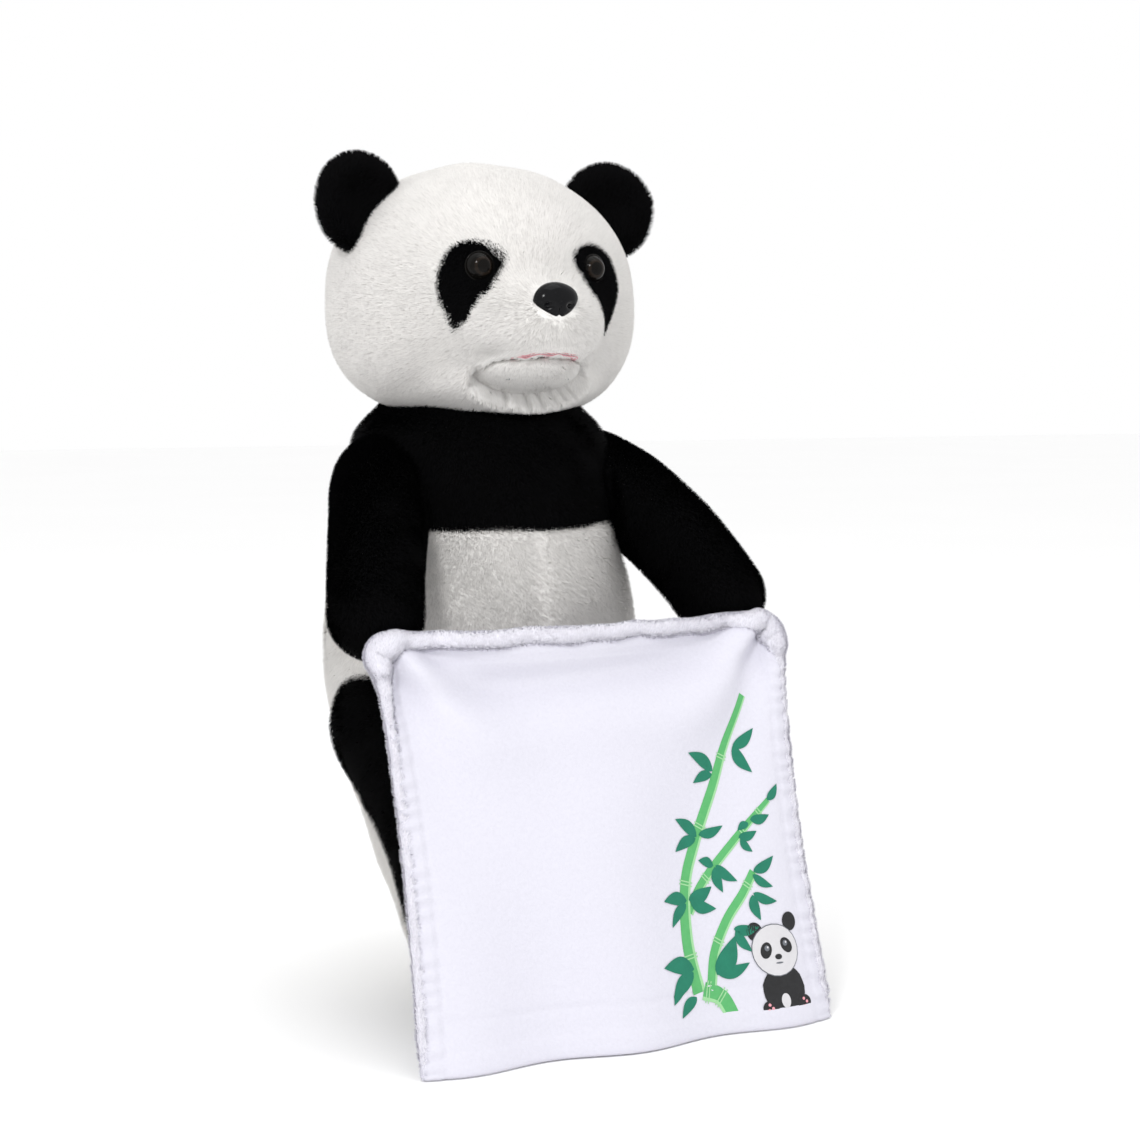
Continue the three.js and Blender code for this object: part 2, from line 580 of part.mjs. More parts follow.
// ---------------------------------------------------------------- blanket
function sheet(w, h, thick, nx, nz, top) {
  const g = new THREE.BoxGeometry(w, thick, h, nx, 1, nz);
  g.translate(0, 0, top - h / 2);
  const pos = g.attributes.position;
  for (let i = 0; i < pos.count; i += 1) {
    const x = pos.getX(i);
    const down = Math.max(0, -pos.getZ(i)) / BLANKET.drop;
    const across = (2 * x) / BLANKET.w;
    const fold = BLANKET.wave * down * Math.cos(across * Math.PI * 2.5);
    const y = pos.getY(i) - BLANKET.lean * down - BLANKET.bulge * (1 - across * across) - fold;
    pos.setXYZ(i, x, BLANKET.y + y, BLANKET.z + pos.getZ(i));
  }
  return toSolid(g);
}
const trimSolid = sheet(BLANKET.w - 1, TRIM.h, TRIM.thick, 14, 1, TRIM.h / 2);
const sheetSolid = sheet(BLANKET.w, BLANKET.drop - 1 + 1.5, BLANKET.thick, 14, 8, 1.5);
add('blanket', sheetSolid, 'cotton');
add('blanket_trim', cut(trimSolid, sheet(BLANKET.w + 4, 40, BLANKET.thick + 2 * GAP, 14, 1, 1.9)), 'cotton');

// ---------------------------------------------------------------- head
const mouthRoom = box(-20, 20, -90, -24, 200, JAW.z + 2.2);
const tunnel = box(-18, 18, -40, 22.5, 200, 216);
const neckCut = rod('z', NECK_R - 6, 190, 222, 0, 2, 28);
const headShell = cut(skull(0), skull(PLUSH), mouthRoom, neckCut);
const eyeY = faceY(EYE.x, EYE.z);
const noseY = MUZZLE.y - MUZZLE.ry * Math.sqrt(1 - ((NOSE.z - MUZZLE.z) / MUZZLE.rz) ** 2);
const eyeStem = rod('y', 1.5, eyeY - 3, eyeY + 12, EYE.x, EYE.z, 16);
const eyeDome = ball(EYE.r, 3.4, EYE.r, EYE.x, eyeY - 1.2, EYE.z, 16, 10);
const eyeSolid = join(eyeDome.intersect(box(0, 60, eyeY - 9, eyeY - 2 + 0.1, 200, 300)), eyeStem);
const eyeHole = rod('y', 1.5 + GAP, eyeY - 9, eyeY + 20, EYE.x, EYE.z, 16);
const washer = cut(rod('y', 5, eyeY + 8, eyeY + 9.4, EYE.x, EYE.z, 16), rod('y', 1.6, -90, 20, EYE.x, EYE.z, 16));
const washerRoom = rod('y', 5 + GAP, eyeY + 7.7, eyeY + 13, EYE.x, EYE.z, 22);
both('eye', eyeSolid, 'plastic_black');
both('eye_washer', washer, 'plastic_white');

function patchOutline(grow) {
  const g = new THREE.CylinderGeometry(1, 1, 60, 18);
  g.scale(PATCH.w / 2 + grow, 1, PATCH.h / 2 + grow);
  g.rotateY(deg(PATCH.tilt));
  g.translate(EYE.x + 4, -50, EYE.z - 5.5);
  return toSolid(g);
}
const skinOuter = skull(-PATCH.thick - 0.05);
const patchSolid = cut(skinOuter, skull(-0.05)).intersect(patchOutline(0)).intersect(box(0, 80, -90, -10, 200, 300));
const domeRoom = ball(EYE.r + GAP, 3.4 + GAP, EYE.r + GAP, EYE.x, eyeY - 1.2, EYE.z, 16, 10);
both('eye_patch', cut(patchSolid, eyeHole, domeRoom.intersect(box(0, 60, -90, eyeY - 1.8, 200, 300))), 'black_plush');

const noseShape = new THREE.Shape();
noseShape.moveTo(0, -NOSE.h / 2);
noseShape.bezierCurveTo(NOSE.w * 0.3, -NOSE.h / 2, NOSE.w / 2, -NOSE.h * 0.1, NOSE.w / 2, NOSE.h * 0.2);
noseShape.bezierCurveTo(NOSE.w / 2, NOSE.h * 0.46, NOSE.w * 0.3, NOSE.h / 2, 0, NOSE.h / 2);
noseShape.bezierCurveTo(-NOSE.w * 0.3, NOSE.h / 2, -NOSE.w / 2, NOSE.h * 0.46, -NOSE.w / 2, NOSE.h * 0.2);
noseShape.bezierCurveTo(-NOSE.w / 2, -NOSE.h * 0.1, -NOSE.w * 0.3, -NOSE.h / 2, 0, -NOSE.h / 2);
const noseGeo = new THREE.ExtrudeGeometry(noseShape, {
  depth: NOSE.d * 0.4,
  bevelEnabled: true,
  bevelThickness: NOSE.d * 0.3,
  bevelSize: 0.01,
  bevelOffset: -0.01,
  bevelSegments: 1,
  curveSegments: 6,
});
noseGeo.rotateX(Math.PI / 2).translate(0, noseY - 1 - NOSE.d * 0.3, NOSE.z);
const noseCap = cut(toSolid(noseGeo), skull(-GAP));
const nosePost = rod('y', 1.8, noseY - 4, noseY + 14, 0, NOSE.z, 16);
add('nose', join(noseCap, nosePost), 'plastic_black');
add('nose_washer', cut(
  rod('y', 5.6, noseY + 9.4, noseY + 11, 0, NOSE.z - 1.6, 16),
  rod('y', 1.9, -90, 20, 0, NOSE.z, 16),
), 'plastic_white');
const noseHole = rod('y', 1.8 + GAP, -90, noseY + 15, 0, NOSE.z, 16);
const noseRoom = rod('y', 5.6 + GAP, noseY + 9.1, noseY + 15, 0, NOSE.z - 1.6, 18);

const earBase = (inset) => {
  const g = new THREE.SphereGeometry(1, 16, 10);
  g.rotateX(Math.PI / 2).scale(EAR.r - inset, EAR.thick / 2 - inset * 0.9, EAR.r * 0.98 - inset);
  g.rotateY(deg(EAR.lean)).translate(EAR.x, EAR.y, EAR.z);
  return toSolid(g);
};
both('ear', cut(earBase(0), skull(-GAP)), 'black_plush');
add('head_cover', cut(headShell, eyeHole, mirrorX(eyeHole), noseHole), 'white_plush');

const frameRoom = join(
  box(-16.4, 16.4, -17, 20.4, 200, 262.4),
  box(-5, 31.6, -16.4, 0.4, jawMotorZ - 8.2, jawMotorZ + 8.2),
  box(-10.4, 10.4, -30, -10, 200, JAW.z + 10),
  tunnel,
);
const lowCut = rod('z', NECK_R - 3, 190, 211, 0, 2, 28);
const headFill = cut(
  skull(FLESH),
  mouthRoom.translate([0, 0, 1.8]),
  chinRoom,
  frameRoom,
  lowCut,
  eyeHole,
  mirrorX(eyeHole),
  washerRoom,
  mirrorX(washerRoom),
  noseHole,
  noseRoom,
);
add('head_stuffing', headFill.decompose().sort((a, b) => b.volume() - a.volume())[0], 'filling');

// Upper mouth lining under the muzzle, fixed; chin and tongue on the jaw.
const liningRoom = skull(PLUSH + 0.2);
const liningTop = box(-20, 20, -90, -25, JAW.z + 2.4, JAW.z + 3.6).intersect(liningRoom);
add('mouth_lining', liningTop, 'felt_pink');
const chinPocket = box(-12.4, 12.4, -50.4, -20, JAW.z - 7.8, JAW.z - 3.7);
add('chin_cover', cut(chin(0).intersect(chinLow), chinPocket), 'white_plush');
const tongueSolid = ball(15.6, 17.6, 9, 0, -38.5, JAW.z, 18, 8).intersect(box(-40, 40, -90, -27, JAW.z + 0.1, JAW.z + 1.2));
add('tongue', tongueSolid, 'felt_pink');

export default group;
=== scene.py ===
"""Seated plush panda that holds a printed blanket: shapes, finishes, light and camera."""

import json
import logging
import math
from dataclasses import dataclass
from enum import Enum
from typing import Callable, Iterable, Sequence

import bmesh
import bpy
import numpy as np
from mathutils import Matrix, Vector


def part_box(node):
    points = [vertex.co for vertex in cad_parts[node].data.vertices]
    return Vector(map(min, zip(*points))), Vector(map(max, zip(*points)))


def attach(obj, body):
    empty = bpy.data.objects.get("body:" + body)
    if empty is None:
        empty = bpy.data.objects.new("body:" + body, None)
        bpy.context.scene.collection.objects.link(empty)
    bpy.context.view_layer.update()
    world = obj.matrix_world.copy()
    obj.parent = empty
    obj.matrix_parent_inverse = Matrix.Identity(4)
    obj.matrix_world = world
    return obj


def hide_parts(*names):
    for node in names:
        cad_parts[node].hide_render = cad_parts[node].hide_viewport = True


with open("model.json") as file:
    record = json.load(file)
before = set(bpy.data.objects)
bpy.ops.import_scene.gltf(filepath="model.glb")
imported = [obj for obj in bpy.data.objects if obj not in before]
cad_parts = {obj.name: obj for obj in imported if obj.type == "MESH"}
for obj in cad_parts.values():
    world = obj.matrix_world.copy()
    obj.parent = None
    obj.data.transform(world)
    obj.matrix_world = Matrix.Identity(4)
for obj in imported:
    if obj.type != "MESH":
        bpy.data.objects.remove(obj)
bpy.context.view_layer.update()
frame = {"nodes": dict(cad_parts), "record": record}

logging.basicConfig(level=logging.INFO, format="%(message)s")
LOG = logging.getLogger("panda")

MM = 0.001
Field = Callable[[np.ndarray], np.ndarray]
Faces = list[tuple[int, ...]]


# ------------------------------------------------------------------ numbers and fields
def vec(*xyz: float) -> np.ndarray:
    """Return a float array of the given numbers."""
    return np.array(xyz, float)


def hermite(xs: Sequence[float], ys: Sequence[float], x: np.ndarray) -> np.ndarray:
    """Smooth curve through points.

    Args:
        xs: Rising positions of the points.
        ys: Values at the points.
        x: Positions to read.

    Returns:
        The value of the curve at each position.
    """
    px, py = np.asarray(xs, float), np.asarray(ys, float)
    x = np.clip(x, px[0], px[-1])
    slope = np.gradient(py, px)
    k = np.clip(np.searchsorted(px, x, side="right") - 1, 0, len(px) - 2)
    h = px[k + 1] - px[k]
    t = (x - px[k]) / h
    start = (1 + 2 * t) * (1 - t) ** 2 * py[k] + t * (1 - t) ** 2 * h * slope[k]
    return start + t * t * (3 - 2 * t) * py[k + 1] + t * t * (t - 1) * h * slope[k + 1]


def step(a: float, b: float, x: np.ndarray) -> np.ndarray:
    """Smooth step from 0 at a to 1 at b."""
    t = np.clip((x - a) / (b - a), 0, 1)
    return t * t * (3 - 2 * t)


def bell(x: np.ndarray, width: float) -> np.ndarray:
    """Bell curve of height 1 around 0."""
    return np.exp(-((x / width) ** 2))


def unit(v: np.ndarray) -> np.ndarray:
    """Vectors scaled to length 1."""
    return v / np.linalg.norm(v, axis=-1, keepdims=True)


def around(count: int) -> np.ndarray:
    """Angles of points once around a circle."""
    return np.linspace(0, 2 * math.pi, count, endpoint=False)


def about_z(degrees: float) -> np.ndarray:
    """Matrix that turns rows of points about the vertical."""
    c, s = math.cos(math.radians(degrees)), math.sin(math.radians(degrees))
    return np.array([[c, s, 0], [-s, c, 0], [0, 0, 1]])


def ellipsoid(p: np.ndarray, centre: Sequence[float], radii: Sequence[float]) -> np.ndarray:
    """Distance field of an ellipsoid, negative inside."""
    r = np.asarray(radii, float)
    q = (p - np.asarray(centre, float)) / r
    k0 = np.linalg.norm(q, axis=-1)
    k1 = np.linalg.norm(q / r, axis=-1)
    return k0 * (k0 - 1) / np.maximum(k1, 1e-9)


def melt(a: np.ndarray, b: np.ndarray, k: float) -> np.ndarray:
    """Smooth union of two fields over a width k."""
    h = np.clip(0.5 + 0.5 * (b - a) / k, 0, 1)
    return b * (1 - h) + a * h - k * h * (1 - h)


def carve(a: np.ndarray, tool: np.ndarray, k: float) -> np.ndarray:
    """Field a with a tool smoothly cut away."""
    return -melt(-a, tool, k)


def lumps(p: np.ndarray, size: float, seed: int, waves: int = 14) -> np.ndarray:
    """Soft random unevenness.

    Args:
        p: Points in millimetres.
        size: Typical width of a lump in millimetres.
        seed: Fixed seed.
        waves: Number of waves that are added up.

    Returns:
        A value of about -1 to 1 at each point.
    """
    rng = np.random.default_rng(seed)
    total = np.zeros(p.shape[:-1])
    for _ in range(waves):
        k = rng.normal(size=3) * 2.2 / size
        total += np.sin(p @ k + rng.uniform(0, 2 * math.pi))
    return total / math.sqrt(waves)


# ------------------------------------------------------------------ meshes
def new_mesh(name: str, verts: np.ndarray, faces: Faces, *finishes: "Finish") -> bpy.types.Object:
    """Make a smooth-shaded mesh object from points in millimetres.

    Args:
        name: Name of the piece.
        verts: Points, one row each, in millimetres.
        faces: Vertex numbers of each face.
        finishes: Finishes of its material slots, in order.

    Returns:
        The linked object, at the origin.
    """
    mesh = bpy.data.meshes.new(name)
    mesh.from_pydata((np.asarray(verts, float) * MM).tolist(), [], faces)
    mesh.polygons.foreach_set("use_smooth", [True] * len(mesh.polygons))
    work = bmesh.new()
    work.from_mesh(mesh)
    bmesh.ops.recalc_face_normals(work, faces=work.faces)
    work.to_mesh(mesh)
    work.free()
    for finish in finishes:
        mesh.materials.append(finish.material())
    obj = bpy.data.objects.new(name, mesh)
    bpy.context.scene.collection.objects.link(obj)
    return obj


def ring_faces(rows: int, cols: int, base: int = 0, wrap: bool = True) -> Faces:
    """Quads of a grid of points, closed around if wrap."""
    out: Faces = []
    for i in range(rows - 1):
        for j in range(cols if wrap else cols - 1):
            a, b = base + i * cols + j, base + i * cols + (j + 1) % cols
            out.append((a, b, b + cols, a + cols))
    return out


def closed_rings(rings: np.ndarray) -> tuple[np.ndarray, Faces]:
    """Points and faces of a tube of rings whose ends are closed at a pole."""
    rows, cols = rings.shape[:2]
    pts = np.vstack([rings.reshape(-1, 3), rings[0].mean(0), rings[-1].mean(0)])
    faces = ring_faces(rows, cols)
    low, high = rows * cols, rows * cols + 1
    last = (rows - 1) * cols
    for j in range(cols):
        k = (j + 1) % cols
        faces.append((low, k, j))
        faces.append((high, last + j, last + k))
    return pts, faces


def slab(front: np.ndarray, back: np.ndarray) -> tuple[np.ndarray, Faces]:
    """Points and faces of a thin solid between two grids of points."""
    rows, cols = front.shape[:2]
    n = rows * cols
    faces = ring_faces(rows, cols, 0, False) + ring_faces(rows, cols, n, False)
    rim = list(range(cols)) + [i * cols + cols - 1 for i in range(1, rows)]
    rim += [(rows - 1) * cols + j for j in range(cols - 2, -1, -1)]
    rim += [i * cols for i in range(rows - 2, 0, -1)]
    for a, b in zip(rim, rim[1:] + rim[:1]):
        faces.append((a, b, b + n, a + n))
    return np.vstack([front.reshape(-1, 3), back.reshape(-1, 3)]), faces


def ball_dirs(level: int) -> tuple[np.ndarray, Faces]:
    """Directions and faces of an evenly divided ball."""
    work = bmesh.new()
    bmesh.ops.create_icosphere(work, subdivisions=level, radius=1)
    pts = np.array([v.co[:] for v in work.verts])
    faces = [tuple(v.index for v in f.verts) for f in work.faces]
    work.free()
    return pts, faces


def solid_of(field: Field, centre: np.ndarray, level: int, reach: float = 90) -> tuple[np.ndarray, Faces]:
    """Surface of a field that is seen whole from a centre inside it.

    Args:
        field: Distance field, negative inside.
        centre: A point inside, in millimetres.
        level: How finely the ball of directions is divided.
        reach: A distance from the centre that is always outside.

    Returns:
        Points and faces of the surface.
    """
    dirs, faces = ball_dirs(level)
    near, far = np.zeros(len(dirs)), np.full(len(dirs), float(reach))
    for _ in range(28):
        mid = (near + far) / 2
        inside = field(centre + dirs * mid[:, None]) < 0
        near, far = np.where(inside, mid, near), np.where(inside, far, mid)
    return centre + dirs * near[:, None], faces


def swept(path: np.ndarray, radii: np.ndarray, cols: int, side: np.ndarray) -> np.ndarray:
    """Rings around a path.

    Args:
        path: Points of the centre line.
        radii: Radius at each point.
        cols: Points around.
        side: Direction that the first radius keeps to.

    Returns:
        Rings as an array of rows, columns and coordinates.
    """
    t = unit(np.gradient(path, axis=0))
    u = unit(side - t * (t @ side)[:, None])
    w = np.cross(u, t)
    a = around(cols)
    ca, sa = np.cos(a)[None, :, None], np.sin(a)[None, :, None]
    return path[:, None] + radii[:, None, None] * (ca * u[:, None] + sa * w[:, None])


def limb(centres: Sequence[Sequence[float]], radii: Sequence[float], rows: int, cols: int) -> np.ndarray:
    """Rings of a rounded limb through three centres."""
    a, m, b = (np.asarray(c, float) for c in centres)
    ctrl = 2 * m - (a + b) / 2
    t = np.linspace(0, 1, rows)[:, None]
    line = (1 - t) ** 2 * a + 2 * t * (1 - t) * ctrl + t * t * b
    r = hermite([0, 0.5, 1], radii, t[:, 0])
    cap = np.linspace(0.03, 1, 12)
    lift, swell = np.cos(cap * math.pi / 2), np.sin(cap * math.pi / 2)
    head = a + unit(a - ctrl) * (radii[0] * lift)[:, None]
    tail = b + unit(b - ctrl) * (radii[2] * lift[::-1])[:, None]
    path = np.vstack([head[:-1], line, tail[1:]])
    size = np.concatenate([radii[0] * swell[:-1], r, radii[2] * swell[::-1][1:]])
    return swept(path, size, cols, vec(1, 0, 0))


# ------------------------------------------------------------------ node trees
def node(tree: bpy.types.NodeTree, kind: str, props: dict | None = None, **values: object) -> bpy.types.Node:
    """Add a node, set its properties and set or link its inputs.

    Args:
        tree: The node tree.
        kind: Node type.
        props: Properties of the node.
        values: Inputs by name, with _ for a space, or iN for input number N.

    Returns:
        The new node.
    """
    made = tree.nodes.new(kind)
    for key, value in (props or {}).items():
        setattr(made, key, value)
    for key, value in values.items():
        if key[0] == "i" and key[1:].isdigit():
            socket = made.inputs[int(key[1:])]
        else:
            socket = made.inputs[key.replace("_", " ")]
        if isinstance(value, bpy.types.NodeSocket):
            tree.links.new(value, socket)
        else:
            socket.default_value = value
    return made


def blended(
    tree: bpy.types.NodeTree, share: bpy.types.NodeSocket, dark: Sequence[float], light: Sequence[float]
) -> bpy.types.NodeSocket:
    """Colour between a dark and a light one by a share."""
    ends = {"i6": (*dark, 1.0), "i7": (*light, 1.0)}
    return node(tree, "ShaderNodeMix", {"data_type": "RGBA"}, i0=share, **ends).outputs[2]


def scalar_of(tree: bpy.types.NodeTree, operation: str, a: object, b: object) -> bpy.types.NodeSocket:
    """Result of a calculation with two numbers."""
    return node(tree, "ShaderNodeMath", {"operation": operation}, i0=a, i1=b).outputs[0]


def vector_of(tree: bpy.types.NodeTree, operation: str, a: object, b: object) -> bpy.types.NodeSocket:
    """Result of a calculation with a vector and a vector, or a vector and its scale."""
    second = {"Scale": b} if operation == "SCALE" else {"i1": b}
    return node(tree, "ShaderNodeVectorMath", {"operation": operation}, i0=a, **second).outputs[0]


def blank_material(title: str) -> bpy.types.Material:
    """A new material with an empty node tree."""
    mat = bpy.data.materials.new(title)
    mat.use_nodes = True
    mat.node_tree.nodes.clear()
    return mat


@dataclass(frozen=True)
class Finish:
    """A procedural surface finish with small variations of colour and relief."""

    name: str
    dark: tuple[float, float, float]
    light: tuple[float, float, float]
    rough: float = 0.5
    metal: float = 0.0
    grain: float = 400.0
    relief: float = 0.1
    coat: float = 0.0
    sheen: float = 0.0
    spec: float = 0.5
    stretch: tuple[float, float, float] = (1.0, 1.0, 1.0)

    def material(self) -> bpy.types.Material:
        """Build the material.

        Returns:
            The material, made once and then reused.
        """
        title = f"finish_{self.name}"
        if title in bpy.data.materials:
            return bpy.data.materials[title]
        mat = blank_material(title)
        tree = mat.node_tree
        coords = node(tree, "ShaderNodeTexCoord").outputs["Object"]
        spread = node(tree, "ShaderNodeMapping", Vector=coords, Scale=self.stretch)
        noise = node(tree, "ShaderNodeTexNoise", Vector=spread.outputs[0], Scale=self.grain, Detail=4.0)
        mix = blended(tree, noise.outputs[0], self.dark, self.light)
        bump = node(tree, "ShaderNodeBump", Strength=self.relief, Distance=0.0004, Height=noise.outputs[0])
        shader = node(
            tree,
            "ShaderNodeBsdfPrincipled",
            Base_Color=mix,
            Roughness=self.rough,
            Metallic=self.metal,
            Specular_IOR_Level=self.spec,
            Coat_Weight=self.coat,
            Coat_Roughness=0.04,
            Sheen_Weight=self.sheen,
            Sheen_Roughness=0.4,
            Normal=bump.outputs[0],
        )
        node(tree, "ShaderNodeOutputMaterial", Surface=shader.outputs[0])
        return mat


@dataclass(frozen=True)
class PlushFinish:
    """Short pile: darker at the root as painted shade deep in the pile, lighter at the tip, uneven from blade
    to blade.
    """

    name: str
    # Root colour, also worn by the bare skin: painted shade deep in the pile.
    root: tuple[float, float, float]
    tip: tuple[float, float, float]
    sheen: float
    through: float
    gloss: float = 0.15
    patches: float = 55.0

    def material(self) -> bpy.types.Material:
        """Build the material.

        Returns:
            The material, made once and then reused.
        """
        title = f"finish_{self.name}"
        if title in bpy.data.materials:
            return bpy.data.materials[title]
        mat = blank_material(title)
        tree = mat.node_tree
        along = node(tree, "ShaderNodeAttribute", {"attribute_name": "along"}).outputs["Fac"]
        shade = node(tree, "ShaderNodeAttribute", {"attribute_name": "shade"}).outputs["Fac"]
        # Painted shade: the root and the bare skin (along 0) take the darker root colour in place of shade
        # inside the pile.
        base = blended(tree, along, self.root, self.tip)
        coords = node(tree, "ShaderNodeTexCoord").outputs["Object"]
        cloud = node(tree, "ShaderNodeTexNoise", Vector=coords, Scale=self.patches, Detail=3.0)
        both = scalar_of(tree, "ADD", cloud.outputs[0], shade)
        level = node(tree, "ShaderNodeMapRange", Value=both, i1=0.3, i2=1.6, i3=0.93, i4=1.04)
        colour = vector_of(tree, "SCALE", base, level.outputs[0])
        shader = node(
            tree,
            "ShaderNodeBsdfPrincipled",
            Base_Color=colour,
            Roughness=0.85,
            Specular_IOR_Level=self.gloss,
            Sheen_Weight=self.sheen,
            Sheen_Roughness=0.45,
        )
        soft = node(tree, "ShaderNodeBsdfTranslucent", Color=colour)
        clamped = {"operation": "MULTIPLY", "use_clamp": True}
        share = node(tree, "ShaderNodeMath", clamped, i0=along, i1=2 * self.through).outputs[0]
        blend = node(tree, "ShaderNodeMixShader", i0=share, i1=shader.outputs[0], i2=soft.outputs[0])
        node(tree, "ShaderNodeOutputMaterial", Surface=blend.outputs[0])
        return mat


# Root colours are painted shade of the deep pile; tip colours are the plush's own colour.
WHITE_PLUSH = PlushFinish("white_plush", (0.80, 0.785, 0.765), (0.93, 0.915, 0.895), 0.03, 0.2)
BLACK_PLUSH = PlushFinish(
    "black_plush", (0.0015, 0.0015, 0.0017), (0.0055, 0.0055, 0.0062), 0.004, 0.2, 0.04
)
TRIM_PLUSH = PlushFinish("trim_plush", (0.80, 0.79, 0.85), (0.94, 0.93, 0.98), 0.03, 0.15)
CLOTH = Finish(
    "blanket_cloth", (0.60, 0.592, 0.66), (0.665, 0.657, 0.73), 0.9, grain=900, relief=0.35, sheen=0.05
)
FELT = Finish(
    "pink_felt", (0.62, 0.24, 0.29), (0.82, 0.38, 0.43), 0.9, grain=1500, relief=0.5, sheen=0.2
)
EYE_GLOSS = Finish(
    "eye_gloss", (0.002, 0.002, 0.002), (0.006, 0.005, 0.004), 0.05, grain=90, relief=0.0, spec=0.09
)
IRIS = Finish(
    "iris", (0.007, 0.005, 0.004), (0.018, 0.012, 0.008), 0.06, grain=700, relief=0.02, spec=0.1
)
EYE_RIM = Finish("eye_rim", (0.55, 0.54, 0.52), (0.75, 0.74, 0.72), 0.4, grain=500, relief=0.05)
NOSE_GLOSS = Finish(
    "nose_gloss", (0.003, 0.003, 0.0035), (0.008, 0.008, 0.009), 0.12, grain=140, relief=0.03, spec=0.11
)
STEEL = Finish("steel", (0.42, 0.43, 0.45), (0.62, 0.63, 0.65), 0.28, 1.0, 300, 0.05, stretch=(8, 1, 1))
GREY_PLASTIC = Finish(
    "grey_plastic", (0.13, 0.135, 0.14), (0.18, 0.185, 0.195), 0.5, grain=1200, relief=0.12
)
WHITE_PLASTIC = Finish(
    "white_plastic", (0.60, 0.60, 0.57), (0.72, 0.72, 0.69), 0.45, grain=1200, relief=0.1
)
BLACK_PLASTIC = Finish(
    "black_plastic", (0.01, 0.01, 0.011), (0.02, 0.02, 0.022), 0.4, grain=1200, relief=0.12
)
BOARD = Finish("board", (0.008, 0.075, 0.028), (0.02, 0.13, 0.05), 0.4, grain=500, relief=0.1)
CELL = Finish("cell_jacket", (0.02, 0.07, 0.16), (0.035, 0.10, 0.22), 0.35, 0.2, 200, 0.03, coat=0.4)
FILLING = Finish("filling", (0.7, 0.7, 0.68), (0.85, 0.85, 0.83), 1.0, grain=260, relief=0.8)
LINING = Finish(
    "lining", (0.55, 0.545, 0.53), (0.66, 0.65, 0.635), 0.9, grain=1400, relief=0.45, sheen=0.1
)
INK_GREEN = Finish("ink_stem", (0.075, 0.36, 0.115), (0.11, 0.43, 0.15), 0.85, grain=500, relief=0.2)
INK_PALE = Finish("ink_pale", (0.26, 0.55, 0.26), (0.34, 0.62, 0.33), 0.85, grain=500, relief=0.2)
INK_LEAF = Finish("ink_leaf", (0.006, 0.14, 0.085), (0.012, 0.20, 0.12), 0.85, grain=300, relief=0.2)
INK_BLACK = Finish("ink_black", (0.008, 0.008, 0.009), (0.02, 0.02, 0.022), 0.85, grain=500, relief=0.2)
INK_WHITE = Finish("ink_white", (0.56, 0.55, 0.57), (0.62, 0.61, 0.63), 0.85, grain=500, relief=0.2)
INK_GREY = Finish("ink_grey", (0.10, 0.11, 0.13), (0.16, 0.17, 0.19), 0.85, grain=500, relief=0.2)

SLOT_FINISHES: dict[str, Finish] = {
    "steel": STEEL,
    "plastic_grey": GREY_PLASTIC,
    "plastic_white": WHITE_PLASTIC,
    "plastic_black": BLACK_PLASTIC,
    "speaker_black": BLACK_PLASTIC,
    "board": BOARD,
    "cell_jacket": CELL,
    "filling": FILLING,
    "felt_pink": FELT,
}


# ------------------------------------------------------------------ pile
@dataclass(frozen=True)
class Pile:
    """Length, density and lie of the pile on a piece."""

    length: float = 2.3
    width: float = 0.42
    density: float = 4.2
    lean: float = 1.5
    comb: tuple[float, float, float] = (0.0, 0.0, -0.7)
    seed: int = 1
    swirl: float = 1.6


